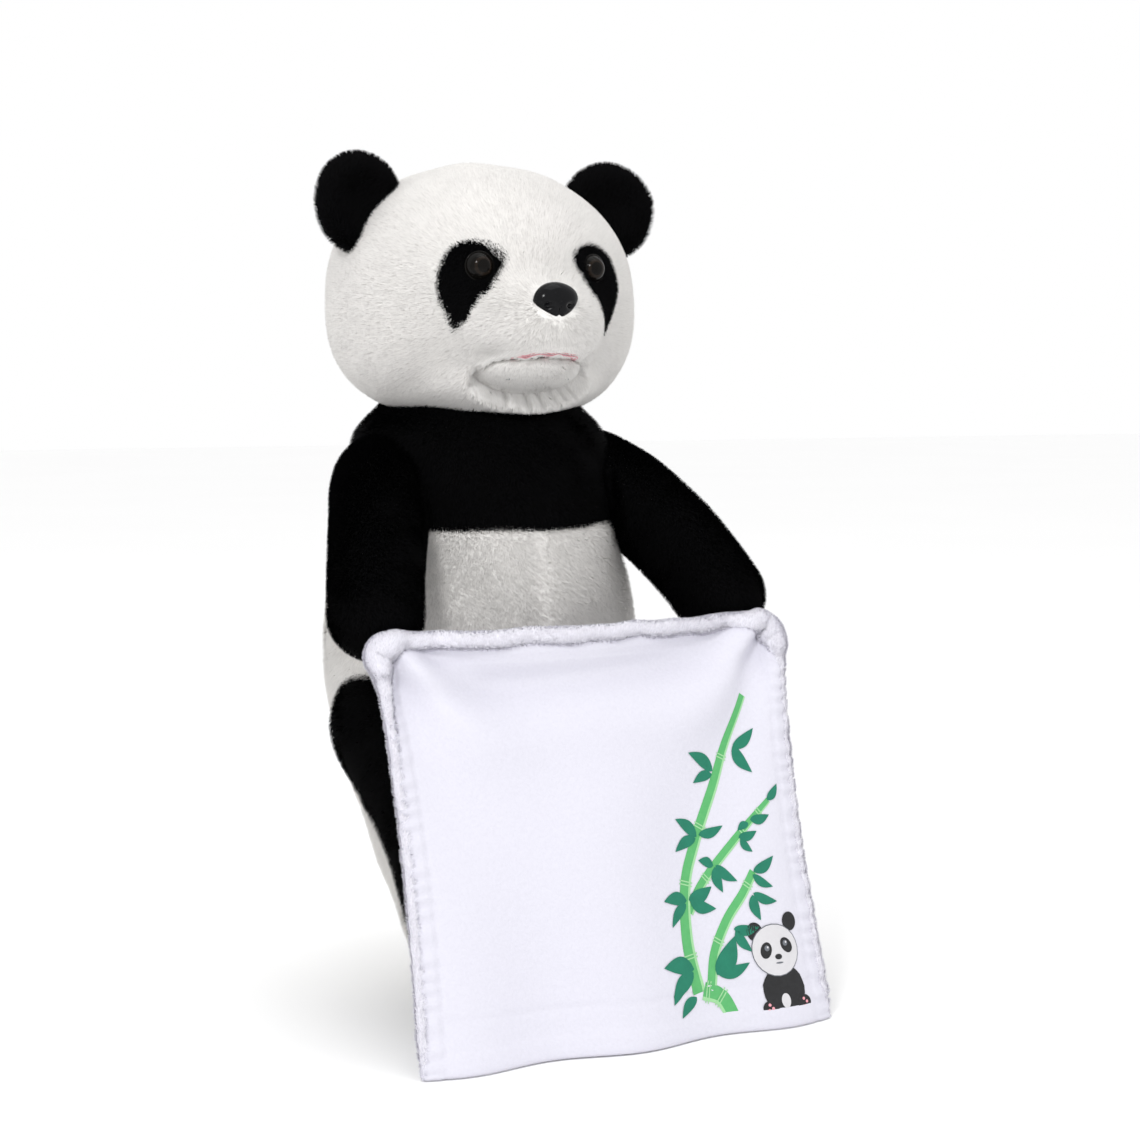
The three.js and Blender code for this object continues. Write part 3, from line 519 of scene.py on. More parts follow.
class Fur:
    """Grows pile on a mesh with one shared Geometry Nodes tree."""

    QUICK_SHARE = 0.2

    def __init__(self) -> None:
        self.blade = self._blade()
        self.tree = self._tree()

    @staticmethod
    def _blade() -> bpy.types.Object:
        """One blade, 1 high and 1 wide, with its height stored as an attribute."""
        mesh = bpy.data.meshes.new("blade")
        mesh.from_pydata([(-0.5, 0, 0), (0.5, 0, 0), (0, 0, 1)], [], [(0, 2, 1)])
        # The height also drives the painted root shade in the plush finish.
        height = mesh.attributes.new("along", "FLOAT", "POINT")
        height.data.foreach_set("value", [0.0, 0.0, 1.0])
        return bpy.data.objects.new("blade", mesh)

    @staticmethod
    def _tree() -> bpy.types.NodeTree:
        """Build the tree: points on faces, leaning blades on them, realized and painted."""
        tree = bpy.data.node_groups.new("pile", "GeometryNodeTree")
        face = tree.interface
        inputs = {"Geometry": "Geometry", "Comb": "Vector", "Seed": "Int"}
        inputs.update({"Blade": "Object", "Finish": "Material"})
        inputs.update(dict.fromkeys(("Density", "Length", "Width", "Lean", "Swirl"), "Float"))
        for name, kind in inputs.items():
            face.new_socket(name, in_out="INPUT", socket_type=f"NodeSocket{kind}")
        face.new_socket("Geometry", in_out="OUTPUT", socket_type="NodeSocketGeometry")
        given = tree.nodes.new("NodeGroupInput").outputs

        def stored(name: str, kind: str) -> bpy.types.NodeSocket:
            """An attribute of the skin."""
            return node(tree, "GeometryNodeInputNamedAttribute", {"data_type": kind}, Name=name).outputs[0]

        def chance(kind: str, **ends: object) -> bpy.types.NodeSocket:
            """A random value for each blade."""
            made = node(tree, "FunctionNodeRandomValue", {"data_type": kind}, Seed=given["Seed"], **ends)
            return made.outputs[0 if kind == "FLOAT_VECTOR" else 1]

        def store(what: bpy.types.NodeSocket, name: str, value: object, kind: str, domain: str) -> object:
            """Store a value under a name and give the geometry."""
            props = {"data_type": kind, "domain": domain}
            made = node(tree, "GeometryNodeStoreNamedAttribute", props, Geometry=what, Name=name, Value=value)
            return made.outputs[0]

        def aligned(axis: dict[str, str], turned: object, along: object) -> bpy.types.NodeSocket:
            """A rotation turned until one of its axes lies along a vector."""
            kind = "FunctionNodeAlignRotationToVector"
            return node(tree, kind, axis, Rotation=turned, Vector=along).outputs[0]

        pile = stored("pile", "FLOAT")
        thick = scalar_of(tree, "MULTIPLY", given["Density"], pile)
        scatter = {"Mesh": given["Geometry"], "Density": thick, "Seed": given["Seed"]}
        points = node(tree, "GeometryNodeDistributePointsOnFaces", **scatter)
        normal = points.outputs["Normal"]
        kept = store(points.outputs["Points"], "skin_n", normal, "FLOAT_VECTOR", "POINT")
        # The lie of a blade: soft swirls, a stray share and the combed direction, all along the skin.
        place = node(tree, "GeometryNodeInputPosition").outputs[0]
        swirl = node(tree, "ShaderNodeTexNoise", Vector=place, Scale=75.0, Detail=2.0).outputs[1]
        centred = vector_of(tree, "SUBTRACT", swirl, (0.5, 0.5, 0.5))
        turned = vector_of(tree, "SCALE", centred, given["Swirl"])
        loose = chance("FLOAT_VECTOR", i0=(-1, -1, -1), i1=(1, 1, 1))
        mixed = vector_of(tree, "ADD", turned, vector_of(tree, "SCALE", loose, 0.4))
        combed = vector_of(tree, "ADD", stored("flow", "FLOAT_VECTOR"), given["Comb"])
        pull = vector_of(tree, "ADD", mixed, combed)
        level = vector_of(tree, "SUBTRACT", pull, vector_of(tree, "PROJECT", pull, normal))
        flat = node(tree, "ShaderNodeVectorMath", {"operation": "NORMALIZE"}, i0=level).outputs[0]
        tilt = scalar_of(tree, "MULTIPLY", chance("FLOAT", i2=0.2, i3=1.3), given["Lean"])
        aim = vector_of(tree, "ADD", vector_of(tree, "SCALE", flat, tilt), normal)
        spin = chance("FLOAT_VECTOR", i0=(0, 0, 0), i1=(0, 0, 6.283))
        turn = aligned({"axis": "Z"}, spin, aim)
        outward = vector_of(tree, "ADD", vector_of(tree, "SCALE", loose, 0.25), normal)
        faced = aligned({"axis": "Y", "pivot_axis": "Z"}, turn, outward)
        tall = scalar_of(tree, "MULTIPLY", chance("FLOAT", i2=0.72, i3=1.12), given["Length"])
        taller = scalar_of(tree, "MULTIPLY", tall, scalar_of(tree, "POWER", pile, 0.7))
        scale = node(tree, "ShaderNodeCombineXYZ", X=given["Width"], Y=given["Width"], Z=taller).outputs[0]
        source = node(tree, "GeometryNodeObjectInfo", Object=given["Blade"]).outputs["Geometry"]
        planting = {"Points": kept, "Instance": source, "Rotation": faced, "Scale": scale}
        blades = node(tree, "GeometryNodeInstanceOnPoints", **planting).outputs[0]
        toned = store(blades, "shade", chance("FLOAT", i2=0.0, i3=1.0), "FLOAT", "INSTANCE")
        joined = tree.nodes.new("GeometryNodeJoinGeometry")
        tree.links.new(toned, joined.inputs[0])
        tree.links.new(given["Geometry"], joined.inputs[0])
        real = node(tree, "GeometryNodeRealizeInstances", Geometry=joined.outputs[0])
        painted = node(tree, "GeometryNodeSetMaterial", Geometry=real.outputs[0], Material=given["Finish"])
        node(tree, "NodeGroupOutput", Geometry=painted.outputs[0])
        return tree

    def grow(
        self,
        obj: bpy.types.Object,
        finish: PlushFinish,
        pile: Pile,
        cover: np.ndarray | None = None,
        flow: np.ndarray | None = None,
    ) -> None:
        """Turn a bare skin into a skin with pile, as one plain mesh.

        Args:
            obj: The skin, at the origin.
            finish: Its plush finish.
            pile: Length, density and lie of the pile.
            cover: Share of pile at each vertex, or None for all.
            flow: Way the pile lies at each vertex, added to its comb, or None.
        """
        mesh = obj.data
        count = len(mesh.vertices)
        share = (np.ones(count) if cover is None else np.clip(cover, 0, 1)).astype(np.float32)
        lie = (np.zeros((count, 3)) if flow is None else flow).astype(np.float32).ravel()
        mesh.attributes.new("pile", "FLOAT", "POINT").data.foreach_set("value", share)
        mesh.attributes.new("flow", "FLOAT_VECTOR", "POINT").data.foreach_set("vector", lie)
        values = {
            "Density": pile.density / MM**2 * 1.0,
            "Length": pile.length * MM,
            "Width": pile.width * MM,
            "Lean": pile.lean,
            "Swirl": pile.swirl,
            "Comb": pile.comb,
            "Seed": pile.seed,
            "Blade": self.blade,
            "Finish": finish.material(),
        }
        modifier = obj.modifiers.new("pile", "NODES")
        modifier.node_group = self.tree
        for item in self.tree.interface.items_tree:
            if item.in_out == "INPUT" and item.name in values:
                modifier[item.identifier] = values[item.name]
        graph = bpy.context.evaluated_depsgraph_get()
        grown = bpy.data.meshes.new_from_object(
            obj.evaluated_get(graph), preserve_all_data_layers=True, depsgraph=graph
        )
        obj.modifiers.clear()
        grown.name = obj.name
        obj.data = grown
        self._soften(grown)

    @staticmethod
    def _soften(mesh: bpy.types.Mesh) -> None:
        """Shade every blade with the normal of the skin under it."""
        mesh.polygons.foreach_set("use_smooth", np.ones(len(mesh.polygons), bool))
        own, skin = (np.zeros(len(mesh.vertices) * 3, np.float32) for _ in range(2))
        mesh.vertex_normals.foreach_get("vector", own)
        mesh.attributes["skin_n"].data.foreach_get("vector", skin)
        own, skin = own.reshape(-1, 3), skin.reshape(-1, 3)
        on_blade = np.linalg.norm(skin, axis=1) > 0.5
        own[on_blade] = skin[on_blade]
        mesh.attributes.remove(mesh.attributes["skin_n"])
        mesh.normals_split_custom_set_from_vertices(own)


# ------------------------------------------------------------------ shared outline of the head
class HeadShape:
    """The head, the muzzle and the lower lip as distance fields, in millimetres."""

    LIP_Z = 229.6
    CENTRE = vec(0, -6, 250)
    JAW_AXIS = vec(0, -8, 228)

    @classmethod
    def lip(cls, x: np.ndarray) -> np.ndarray:
        """Height of the closed mouth line, lower at its corners."""
        return cls.LIP_Z - 2.4 * (x / 18) ** 2 + 0.25 * np.sin(x * 0.8)

    @classmethod
    def chin(cls, p: np.ndarray, grow: float = 0.0) -> np.ndarray:
        """Lower lip with the soft chin under it."""
        body = ellipsoid(p, (0, -36.2, 227.2), (20.5 + grow, 22.0 + grow, 10.4 + grow))
        return carve(body, cls.lip(p[..., 0]) - 0.5 + grow * 0.6 - p[..., 2], 2.6)

    @classmethod
    def head(cls, p: np.ndarray) -> np.ndarray:
        """Head with muzzle, cheeks and brow, hollowed for the lower lip."""
        x, y, z = p[..., 0], p[..., 1], p[..., 2]
        q = np.stack([x, y, z], -1)
        front = ellipsoid(q, (0, 0, 253), (56.2, 53.5, 45.4))
        back = ellipsoid(q, (0, 0, 253), (56.2, 47.4, 45.4))
        skull = np.where(y < 0, front, back)
        flip = np.stack([np.abs(x), y, z], -1)
        skull = melt(skull, ellipsoid(flip, (29, -5, 235), (25, 28, 23)), 12)
        skull = melt(skull, ellipsoid(q, (0, -21, 220), (32, 30, 12)), 9)
        muzzle = ellipsoid(q, (0, -42, 239.5), (25.5, 25, 17))
        face = melt(skull, muzzle, 8)
        face = carve(face, ellipsoid(flip, (26, -60, 263), (8, 6, 10)), 7)
        lips = ellipsoid(flip, (20, -54, 229), (2.4, 5, 1.6))
        face = carve(face, lips, 3)
        return carve(face, cls.chin(p, 0.45), 0.8)


# ------------------------------------------------------------------ sub-assemblies
@dataclass
class Head:
    """Head cover with its ears, eye patches, eyes, nose and mouth felt."""

    fur: Fur
    ear_x: float = 50.0
    ear_y: float = -7.0
    ear_z: float = 283.5
    ear_r: float = 17.2
    eye_x: float = 22.0
    eye_z: float = 259.8
    eye_r: float = 4.3
    nose_z: float = 247.6
    drop = (
        (22.5, 269.0), (16.5, 267.6), (12.4, 263.6), (14.6, 258.0), (19.6, 251.5), (24.0, 246.5),
        (28.4, 237.5), (30.6, 240.5), (33.6, 247.0), (35.2, 254.0), (33.6, 261.0), (29.2, 266.6), (22.5, 269.0),
    )

    def surface_y(self, x: np.ndarray, z: np.ndarray) -> np.ndarray:
        """Depth of the face in front of points of the X-Z plane."""
        near, far = np.full(x.shape, -100.0), np.full(x.shape, -8.0)
        for _ in range(30):
            mid = (near + far) / 2
            outside = HeadShape.head(np.stack([x, mid, z], -1)) > 0
            near, far = np.where(outside, mid, near), np.where(outside, far, mid)
        return far

    def build(self) -> None:
        """Build every piece of the head."""
        self._cover()
        for side, tag in ((1, "left"), (-1, "right")):
            self._ear(side, tag)
            self._patch(side, tag)
            self._eye(side, tag)
        self._nose()
        self._felt()

    def _cover(self) -> None:
        """The white head."""
        pts, faces = solid_of(HeadShape.head, HeadShape.CENTRE, 6)
        out = unit(pts - HeadShape.CENTRE)
        calm = step(8, 30, np.linalg.norm(pts - vec(0, -60, 238), axis=1))
        pts = pts + out * (lumps(pts, 26, 3) * 0.45 * calm)[:, None]
        obj = new_mesh("head_plush", pts, faces)
        x, y, z = pts.T
        lip = np.hypot(np.clip(np.abs(x) - 17, 0, None), z - HeadShape.lip(x))
        bare = step(1.2, 5.0, lip) + (y > -30)
        nose = np.sqrt((x / 8.6) ** 2 + ((z - self.nose_z) / 7.0) ** 2)
        bare = np.minimum(np.clip(bare, 0, 1), np.where(y < -45, step(0.75, 1.05, nose), 1))
        cover = 0.32 + 0.68 * np.clip(bare, 0, 1)
        cover = np.where((y < -45) & (nose < 0.85), 0.0, cover)
        under = (HeadShape.chin(pts, 0.0) < 0.9) & (z < 228)
        cover = np.where(under, 0.5, cover)
        under_eye = np.hypot(np.abs(x) - self.eye_x, z - self.eye_z) < self.eye_r + 1
        cover = np.where((y < -20) & (under_eye | self._in_drop(np.abs(x), z)), 0.0, cover)
        flow = unit(pts - vec(0, -62, 246)) * 1.2
        flow[:, 2] -= 1.5 * step(5, 45, y)
        self.fur.grow(obj, WHITE_PLUSH, Pile(2.5, 0.42, 5.0, 1.5, (0, 0, 0), 11), cover, flow)
        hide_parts("head_cover", "head_stuffing")
        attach(obj, "torso")
        LOG.info("head_plush: %d faces", len(obj.data.polygons))

    def _drop_line(self, at: np.ndarray) -> tuple[np.ndarray, np.ndarray]:
        """X and Z of the patch's outline at positions along it."""
        keys = np.arange(len(self.drop))
        return tuple(hermite(keys, [p[k] for p in self.drop], at) for k in (0, 1))

    def _in_drop(self, x: np.ndarray, z: np.ndarray) -> np.ndarray:
        """Whether points of the face lie under an eye patch."""
        at = np.linspace(0, len(self.drop) - 1, 80)
        px, pz = self._drop_line(at)
        px, pz = px + (px.mean() - px) * 0.06, pz + (pz.mean() - pz) * 0.06
        inside = np.zeros(x.shape, bool)
        for k in range(len(at) - 1):
            crosses = (pz[k] > z) != (pz[k + 1] > z)
            rise = pz[k + 1] - pz[k]
            rise = rise if abs(rise) > 1e-9 else 1e-9
            inside ^= crosses & (x < px[k] + (z - pz[k]) * (px[k + 1] - px[k]) / rise)
        return inside

    def _ear(self, side: int, tag: str) -> None:
        """A round ear with a cupped front."""
        r = self.ear_r

        def field(p: np.ndarray) -> np.ndarray:
            base = ellipsoid(p, (0, 0, 0), (r, 6.4, r))
            return carve(base, ellipsoid(p, (0, -9.5, -1), (12.5, 7.5, 12.5)), 5)

        pts, faces = solid_of(field, vec(0, 1.5, 0), 5, 40)
        pts = pts @ about_z(-14 * side) + vec(side * self.ear_x, self.ear_y, self.ear_z)
        pts += lumps(pts, 14, 5)[:, None] * 0.25
        obj = new_mesh(f"ear_plush_{tag}", pts, faces)
        self.fur.grow(obj, BLACK_PLUSH, Pile(2.6, 0.42, 5.5, 1.2, (0, 0.2, 0.5), 21 + side))
        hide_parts(f"ear_{tag}")
        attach(obj, "torso")

    def _patch(self, side: int, tag: str) -> None:
        """A drop-shaped black patch around the eye."""
        rows, cols = 16, 96
        ox, oz = self._drop_line(np.linspace(0, len(self.drop) - 1, cols, endpoint=False))
        mx, mz = float(ox.mean()), float(oz.mean())
        rho = np.linspace(1, 0.04, rows)[:, None]
        x, z = mx + (ox - mx) * rho, mz + (oz - mz) * rho
        front = self.surface_y(x, z)
        lift = 0.15 + 0.55 * np.sqrt(np.clip(1 - rho**6, 0, 1)) * np.ones_like(x)
        outer = np.stack([x, front - lift, z], -1)
        inner = outer[::-1] + vec(0, 1.6, 0)
        rings = np.concatenate([inner, outer], 0) * vec(side, 1, 1)
        pts, faces = closed_rings(rings)
        obj = new_mesh(f"patch_plush_{tag}", pts, faces)
        away = np.hypot(np.abs(pts[:, 0]) - self.eye_x, pts[:, 2] - self.eye_z)
        cover = step(self.eye_r - 0.4, self.eye_r + 1.2, away)
        self.fur.grow(obj, BLACK_PLUSH, Pile(2.0, 0.4, 7.0, 1.2, (side * 0.4, 0, -0.5), 31 + side), cover)
        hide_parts(f"eye_patch_{tag}")
        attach(obj, "torso")

    def _eye(self, side: int, tag: str) -> None:
        """A moulded safety eye: rim, dark iris and clear dome."""
        x0, z0 = self.eye_x, self.eye_z
        y0 = float(self.surface_y(vec(x0), vec(z0))[0])
        profile = [
            (0.0, -4.2), (0.9, -4.15), (1.8, -3.95), (2.7, -3.55), (3.5, -2.9), (4.1, -2.1),
            (4.5, -1.5), (4.75, -1.0), (4.8, -0.4), (4.5, 0.6), (3.0, 1.2), (0.0, 1.4),
        ]
        steps = np.linspace(0, 1, 40)
        keys = np.linspace(0, 1, len(profile))
        r = np.maximum(hermite(keys, [p[0] for p in profile], steps), 0.02)
        y = hermite(keys, [p[1] for p in profile], steps)
        a = around(48)
        across = r[:, None]
        ring = np.stack([across * np.cos(a), np.repeat(y[:, None], len(a), 1), across * np.sin(a)], -1)
        tilt, place = about_z(16 * side), vec(side * x0, y0 - 0.2, z0)
        ring = ring @ tilt
        pts, faces = closed_rings(ring + place)
        obj = new_mesh(f"eye_dome_{tag}", pts, faces, EYE_GLOSS, IRIS, EYE_RIM)
        local = np.vstack([ring.reshape(-1, 3), np.zeros((2, 3))])
        for poly in obj.data.polygons:
            mid = local[list(poly.vertices)].mean(0)
            away = math.hypot(mid[0], mid[2])
            poly.material_index = 1 if 2.3 < away < 3.3 and mid[1] < -1.5 else 0
        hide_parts(f"eye_{tag}")
        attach(obj, "torso")
        edge, wide = around(72), 4.95
        loop = np.stack([wide * np.cos(edge), np.full(len(edge), -0.6), wide * np.sin(edge)], -1)
        self._hoop(f"eye_ring_{tag}", loop @ tilt + place, 0.38, EYE_GLOSS)

    @staticmethod
    def _hoop(name: str, loop: np.ndarray, radius: float, finish: Finish) -> None:
        """A closed thin ring that rides on the torso."""
        out = unit(loop - loop.mean(0))
        up = np.cross(unit(np.roll(loop, -1, 0) - np.roll(loop, 1, 0)), out)
        b = around(8)
        rings = loop[:, None] + radius * (
            np.cos(b)[None, :, None] * out[:, None] + np.sin(b)[None, :, None] * up[:, None]
        )
        rows, cols = rings.shape[:2]
        faces = []
        for i in range(rows):
            for j in range(cols):
                k, m = (i + 1) % rows, (j + 1) % cols
                faces.append((i * cols + j, i * cols + m, k * cols + m, k * cols + j))
        obj = new_mesh(name, rings.reshape(-1, 3), faces, finish)
        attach(obj, "torso")

    def _nose(self) -> None:
        """A glossy rounded triangle with two nostril dents."""
        rows, cols = 40, 96
        a = around(cols)
        drop = np.clip(-np.sin(a), 0, 1)
        wide = 8.3 * (1 - 0.16 * drop**2)
        tall = 6.7 + 0.6 * drop**2
        corner = 1 + 0.09 * np.clip(np.cos(2 * (a - math.radians(40))), 0, 1) * (np.sin(a) > 0)
        t = np.linspace(0, 1, rows)
        rho = np.sin(t * math.pi / 2)[:, None]
        x = rho * wide * np.cos(a) * (1 - 0.30 * rho * drop) * corner
        z = rho * tall * np.sin(a)
        y0 = float(self.surface_y(vec(0.0), vec(self.nose_z))[0])
        bulge = 5.2 * np.cos(t * math.pi / 2)[:, None] ** 0.9 * np.ones_like(x)
        dent = 1.7 * np.exp(-(((np.abs(x) - 4.3) / 1.5) ** 2 + ((z + 1.6) / 1.0) ** 2))
        groove = 0.7 * np.exp(-((x / 0.7) ** 2)) * (z < -2.0)
        y = y0 + 0.9 - bulge + dent + groove
        front = np.stack([x, y, z + self.nose_z], -1)
        back = np.stack([x[-1] * 0.9, np.full(cols, y0 + 3.0), z[-1] * 0.9 + self.nose_z], -1)
        rings = np.concatenate([front, back[None]], 0)
        pts, faces = closed_rings(rings)
        obj = new_mesh("nose_dome", pts, faces, NOSE_GLOSS)
        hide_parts("nose")
        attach(obj, "torso")

    def _felt(self) -> None:
        """Pink felt on the upper side of the mouth, with a rolled edge that shows."""
        self.felt_leaf("mouth_felt", 0.35, 0.7, 0.18, "torso", "mouth_lining")

    @staticmethod
    def felt_leaf(name: str, z: float, thick: float, wave: float, body: str, stands: str) -> None:
        """A half-round felt leaf inside the mouth.

        Args:
            name: Name of the piece.
            z: Height of its middle above the mouth line.
            thick: Its thickness.
            wave: How far its front edge waves.
            body: The body it rides on.
            stands: The CAD node that it stands for.
        """
        rows, cols, half, middle = 14, 120, 14.0, -43.5
        a = around(cols)
        x = half * np.cos(a)
        y = np.where(np.sin(a) < 0, -19.3 * np.abs(np.sin(a)) ** 0.5, 14.4 * np.sin(a))
        edge = HeadShape.lip(x) + z + wave * np.sin(a * 9) + wave * 0.6 * np.sin(a * 17 + 1)
        out = []
        for k in np.linspace(0, math.pi, rows):
            shrink = 0.02 + 0.98 * abs(math.sin(k)) ** 0.25
            out.append(np.stack([x * shrink, middle + y * shrink, edge + math.cos(k) * thick / 2], -1))
        pts, faces = closed_rings(np.array(out))
        obj = new_mesh(name, pts, faces, FELT)
        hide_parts(stands)
        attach(obj, body)


@dataclass
class Jaw:
    """Lower lip and tongue, which turn with the jaw."""

    fur: Fur

    def build(self) -> None:
        """Build the lower lip and the felt on it."""
        pts, faces = solid_of(lambda p: HeadShape.chin(p, -0.1), vec(0, -38.5, 224), 5, 50)
        obj = new_mesh("chin_plush", pts, faces)
        edge = np.clip((HeadShape.lip(pts[:, 0]) - 0.8 - pts[:, 2]) / 4.0, 0, 1)
        back = step(-20, -34, pts[:, 1])
        cover = (0.6 + 0.4 * edge) * back
        self.fur.grow(obj, WHITE_PLUSH, Pile(2.2, 0.42, 6.0, 1.2, (0, 0.1, -0.6), 41), cover)
        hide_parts("chin_cover")
        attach(obj, "jaw")
        Head.felt_leaf("tongue_felt", -0.35, 0.6, 0.15, "jaw", "tongue")


@dataclass
class Torso:
    """White belly, black chest, soft back flap and the lining of its opening."""

    fur: Fur
    rows_z = (0, 5, 16, 34, 54, 72, 88, 104, 122, 144, 162, 178, 192, 204, 214, 224)
    rows_r = (27, 32, 36.5, 41.5, 47, 52, 55.8, 58.3, 59, 56.5, 52.5, 48.5, 44, 39, 34, 28)
    rows_y = (-22, -22, -20, -17, -12.5, -8.5, -5, -2, 0, 0, 0, 0, 0, 0, 0, 0)
    seam_z: float = 168.5
    half: float = 31.35
    low: float = 78.95
    high: float = 146.05
    well_z: float = 112.0
    well_half: float = 30.0
    back_cols: int = 24
    side_cols: int = 60

    def ring(self, z: float, grow: float = 0.0) -> np.ndarray:
        """Points around the torso at a height, with the opening's columns at fixed X."""
        r = float(hermite(self.rows_z, self.rows_r, np.array(z))) + grow - 1.4
        shift = float(hermite(self.rows_z, self.rows_y, np.array(z)))
        lim = math.asin(min(self.half / r, 0.78))
        back = np.arcsin(np.linspace(-math.sin(lim), math.sin(lim), self.back_cols + 1))
        a = np.concatenate([back, np.linspace(lim, 2 * math.pi - lim, self.side_cols + 1)[1:-1]])
        front = np.abs(a - math.pi)
        rr = r - 0.9 * bell(front * r, 1.6) * step(60, 90, np.array(z))
        return np.stack([rr * np.sin(a), shift + rr * np.cos(a), np.full(a.shape, float(z))], -1)

    def build(self) -> None:
        """Build the covers, the flap and the lining."""
        self._belly()
        self._chest()
        self._flap()
        self._well()

    def _belly(self) -> None:
        """White cover with the opening in the back."""
        below = np.linspace(9, self.low, 20)
        beside = np.linspace(self.low, self.high, 22)[1:]
        above = np.linspace(self.high, self.seam_z, 9)[1:]
        zs = np.concatenate([[0.0, 0.8, 2.2, 5.0], below, beside, above])
        tucks = 1.8 * bell(self.seam_z - zs, 2.0) + 3.0 * bell(zs, 1.0)
        rings = np.array([self.ring(z, -tuck) for z, tuck in zip(zs, tucks)])
        cols = rings.shape[1]
        flat = rings.reshape(-1, 3)
        wave = lumps(flat, 34, 8) * 0.6 * step(6, 26, flat[:, 2])
        wave *= step(0, 12, np.abs(flat[:, 2] - self.well_z) - self.well_half) + (flat[:, 1] < 0)
        out = unit(flat * vec(1, 1, 0))
        flat = flat + out * np.clip(wave, -1.2, 1.2)[:, None]
        lo, hi = (int(np.argmin(np.abs(zs - v))) for v in (self.low, self.high))
        faces = []
        for i in range(len(zs) - 1):
            for j in range(cols):
                if lo <= i < hi and j < self.back_cols:
                    continue
                k = (j + 1) % cols
                faces.append((i * cols + j, i * cols + k, (i + 1) * cols + k, (i + 1) * cols + j))
        rim = [lo * cols + j for j in range(self.back_cols + 1)]
        rim += [i * cols + self.back_cols for i in range(lo + 1, hi)]
        rim += [hi * cols + j for j in range(self.back_cols, -1, -1)]
        rim += [i * cols for i in range(hi - 1, lo, -1)]
        base = len(flat)
        inner = flat[rim] - out[rim] * 2.6
        pts = np.vstack([flat, inner, rings[0].mean(0), rings[-1].mean(0)])
        count = len(rim)
        faces += [(rim[(k + 1) % count], rim[k], base + k, base + (k + 1) % count) for k in range(count)]
        last = (len(zs) - 1) * cols
        for j in range(cols):
            k = (j + 1) % cols
            faces += [(base + count, k, j), (base + count + 1, last + j, last + k)]
        self.rim = inner
        obj = new_mesh("belly_plush", pts, faces)
        cover = np.clip(pts[:, 2] / 3, 0, 1)
        cover[base : base + count] = 0
        x, y = pts[:, 0], pts[:, 1]
        cover *= np.where((y < 0) & (pts[:, 2] > 60), 0.35 + 0.65 * step(0.6, 2.4, np.abs(x)), 1)
        self.fur.grow(obj, WHITE_PLUSH, Pile(2.6, 0.44, 4.4, 1.5, (0.2, 0, -0.7), 51), cover)
        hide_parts("body_cover", "body_stuffing")
        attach(obj, "torso")
        LOG.info("belly_plush: %d faces", len(obj.data.polygons))

    def _chest(self) -> None:
        """Black cover from the seam to the neck."""
        zs = np.linspace(self.seam_z + 0.1, 222, 34)
        rows = [self.ring(z, 0.6 - tuck) for z, tuck in zip(zs, 1.8 * bell(zs - self.seam_z, 2.0))]
        pts, faces = closed_rings(np.array(rows))
        near = np.exp(-(((np.abs(pts[:, 0]) - 36) / 14) ** 2 + ((pts[:, 2] - 196) / 12) ** 2))
        pts[:, 0] += np.sign(pts[:, 0]) * near * 5.0
        pts[:, 2] += near * 3.0
        pts = self._clear_of_jaw(pts)
        obj = new_mesh("chest_plush", pts, faces)
        self.fur.grow(obj, BLACK_PLUSH, Pile(2.7, 0.46, 4.6, 1.3, (0, 0, -0.8), 61))
        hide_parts("chest_cover")
        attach(obj, "torso")

    @staticmethod
    def _clear_of_jaw(pts: np.ndarray) -> np.ndarray:
        """Press points of the chest out of the room that the lower lip turns through."""
        pivot = HeadShape.JAW_AXIS
        for _ in range(3):
            for degrees in (0, 5, 10, 14):
                c, sn = math.cos(math.radians(degrees)), math.sin(math.radians(degrees))
                back = np.array([[1, 0, 0], [0, c, -sn], [0, sn, c]])

                def gap(q: np.ndarray) -> np.ndarray:
                    return HeadShape.chin((q - pivot) @ back + pivot, 3.2)

                d = gap(pts)
                slope = np.stack([gap(pts + e) - d for e in np.eye(3) * 0.2], -1)
                slope /= np.linalg.norm(slope, axis=1, keepdims=True) + 1e-9
                pts = pts - slope * np.clip(d, None, 0)[:, None]
        return pts

    def _flap(self) -> None:
        """Soft flap over the battery door."""
        cols = self.back_cols + 1
        zs = np.linspace(self.low + 0.3, self.high - 0.3, 30)
        outer, inner = [], []
        for z in zs:
            edge = min(z - zs[0], zs[-1] - z)
            ring = self.ring(float(z))[:cols].copy()
            ring[:, 0] *= (self.half - 0.35) / self.half
            side = np.minimum(self.half - np.abs(ring[:, 0]), edge)
            puff = 0.9 * (1 - np.exp(-np.clip(side, 0, None) / 2.2)) - 0.9
            out = unit(ring * vec(1, 1, 0))
            outer.append(ring + out * (puff + 0.3)[:, None])
            inner.append(ring - out * 2.3)
        pts, faces = slab(np.array(outer), np.array(inner))
        obj = new_mesh("flap_plush", pts, faces)
        cover = np.repeat([1.0, 0.05], len(pts) // 2)
        self.fur.grow(obj, WHITE_PLUSH, Pile(2.6, 0.44, 4.4, 1.5, (0.2, 0, -0.7), 71), cover)
        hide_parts("back_flap")
        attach(obj, "flap")

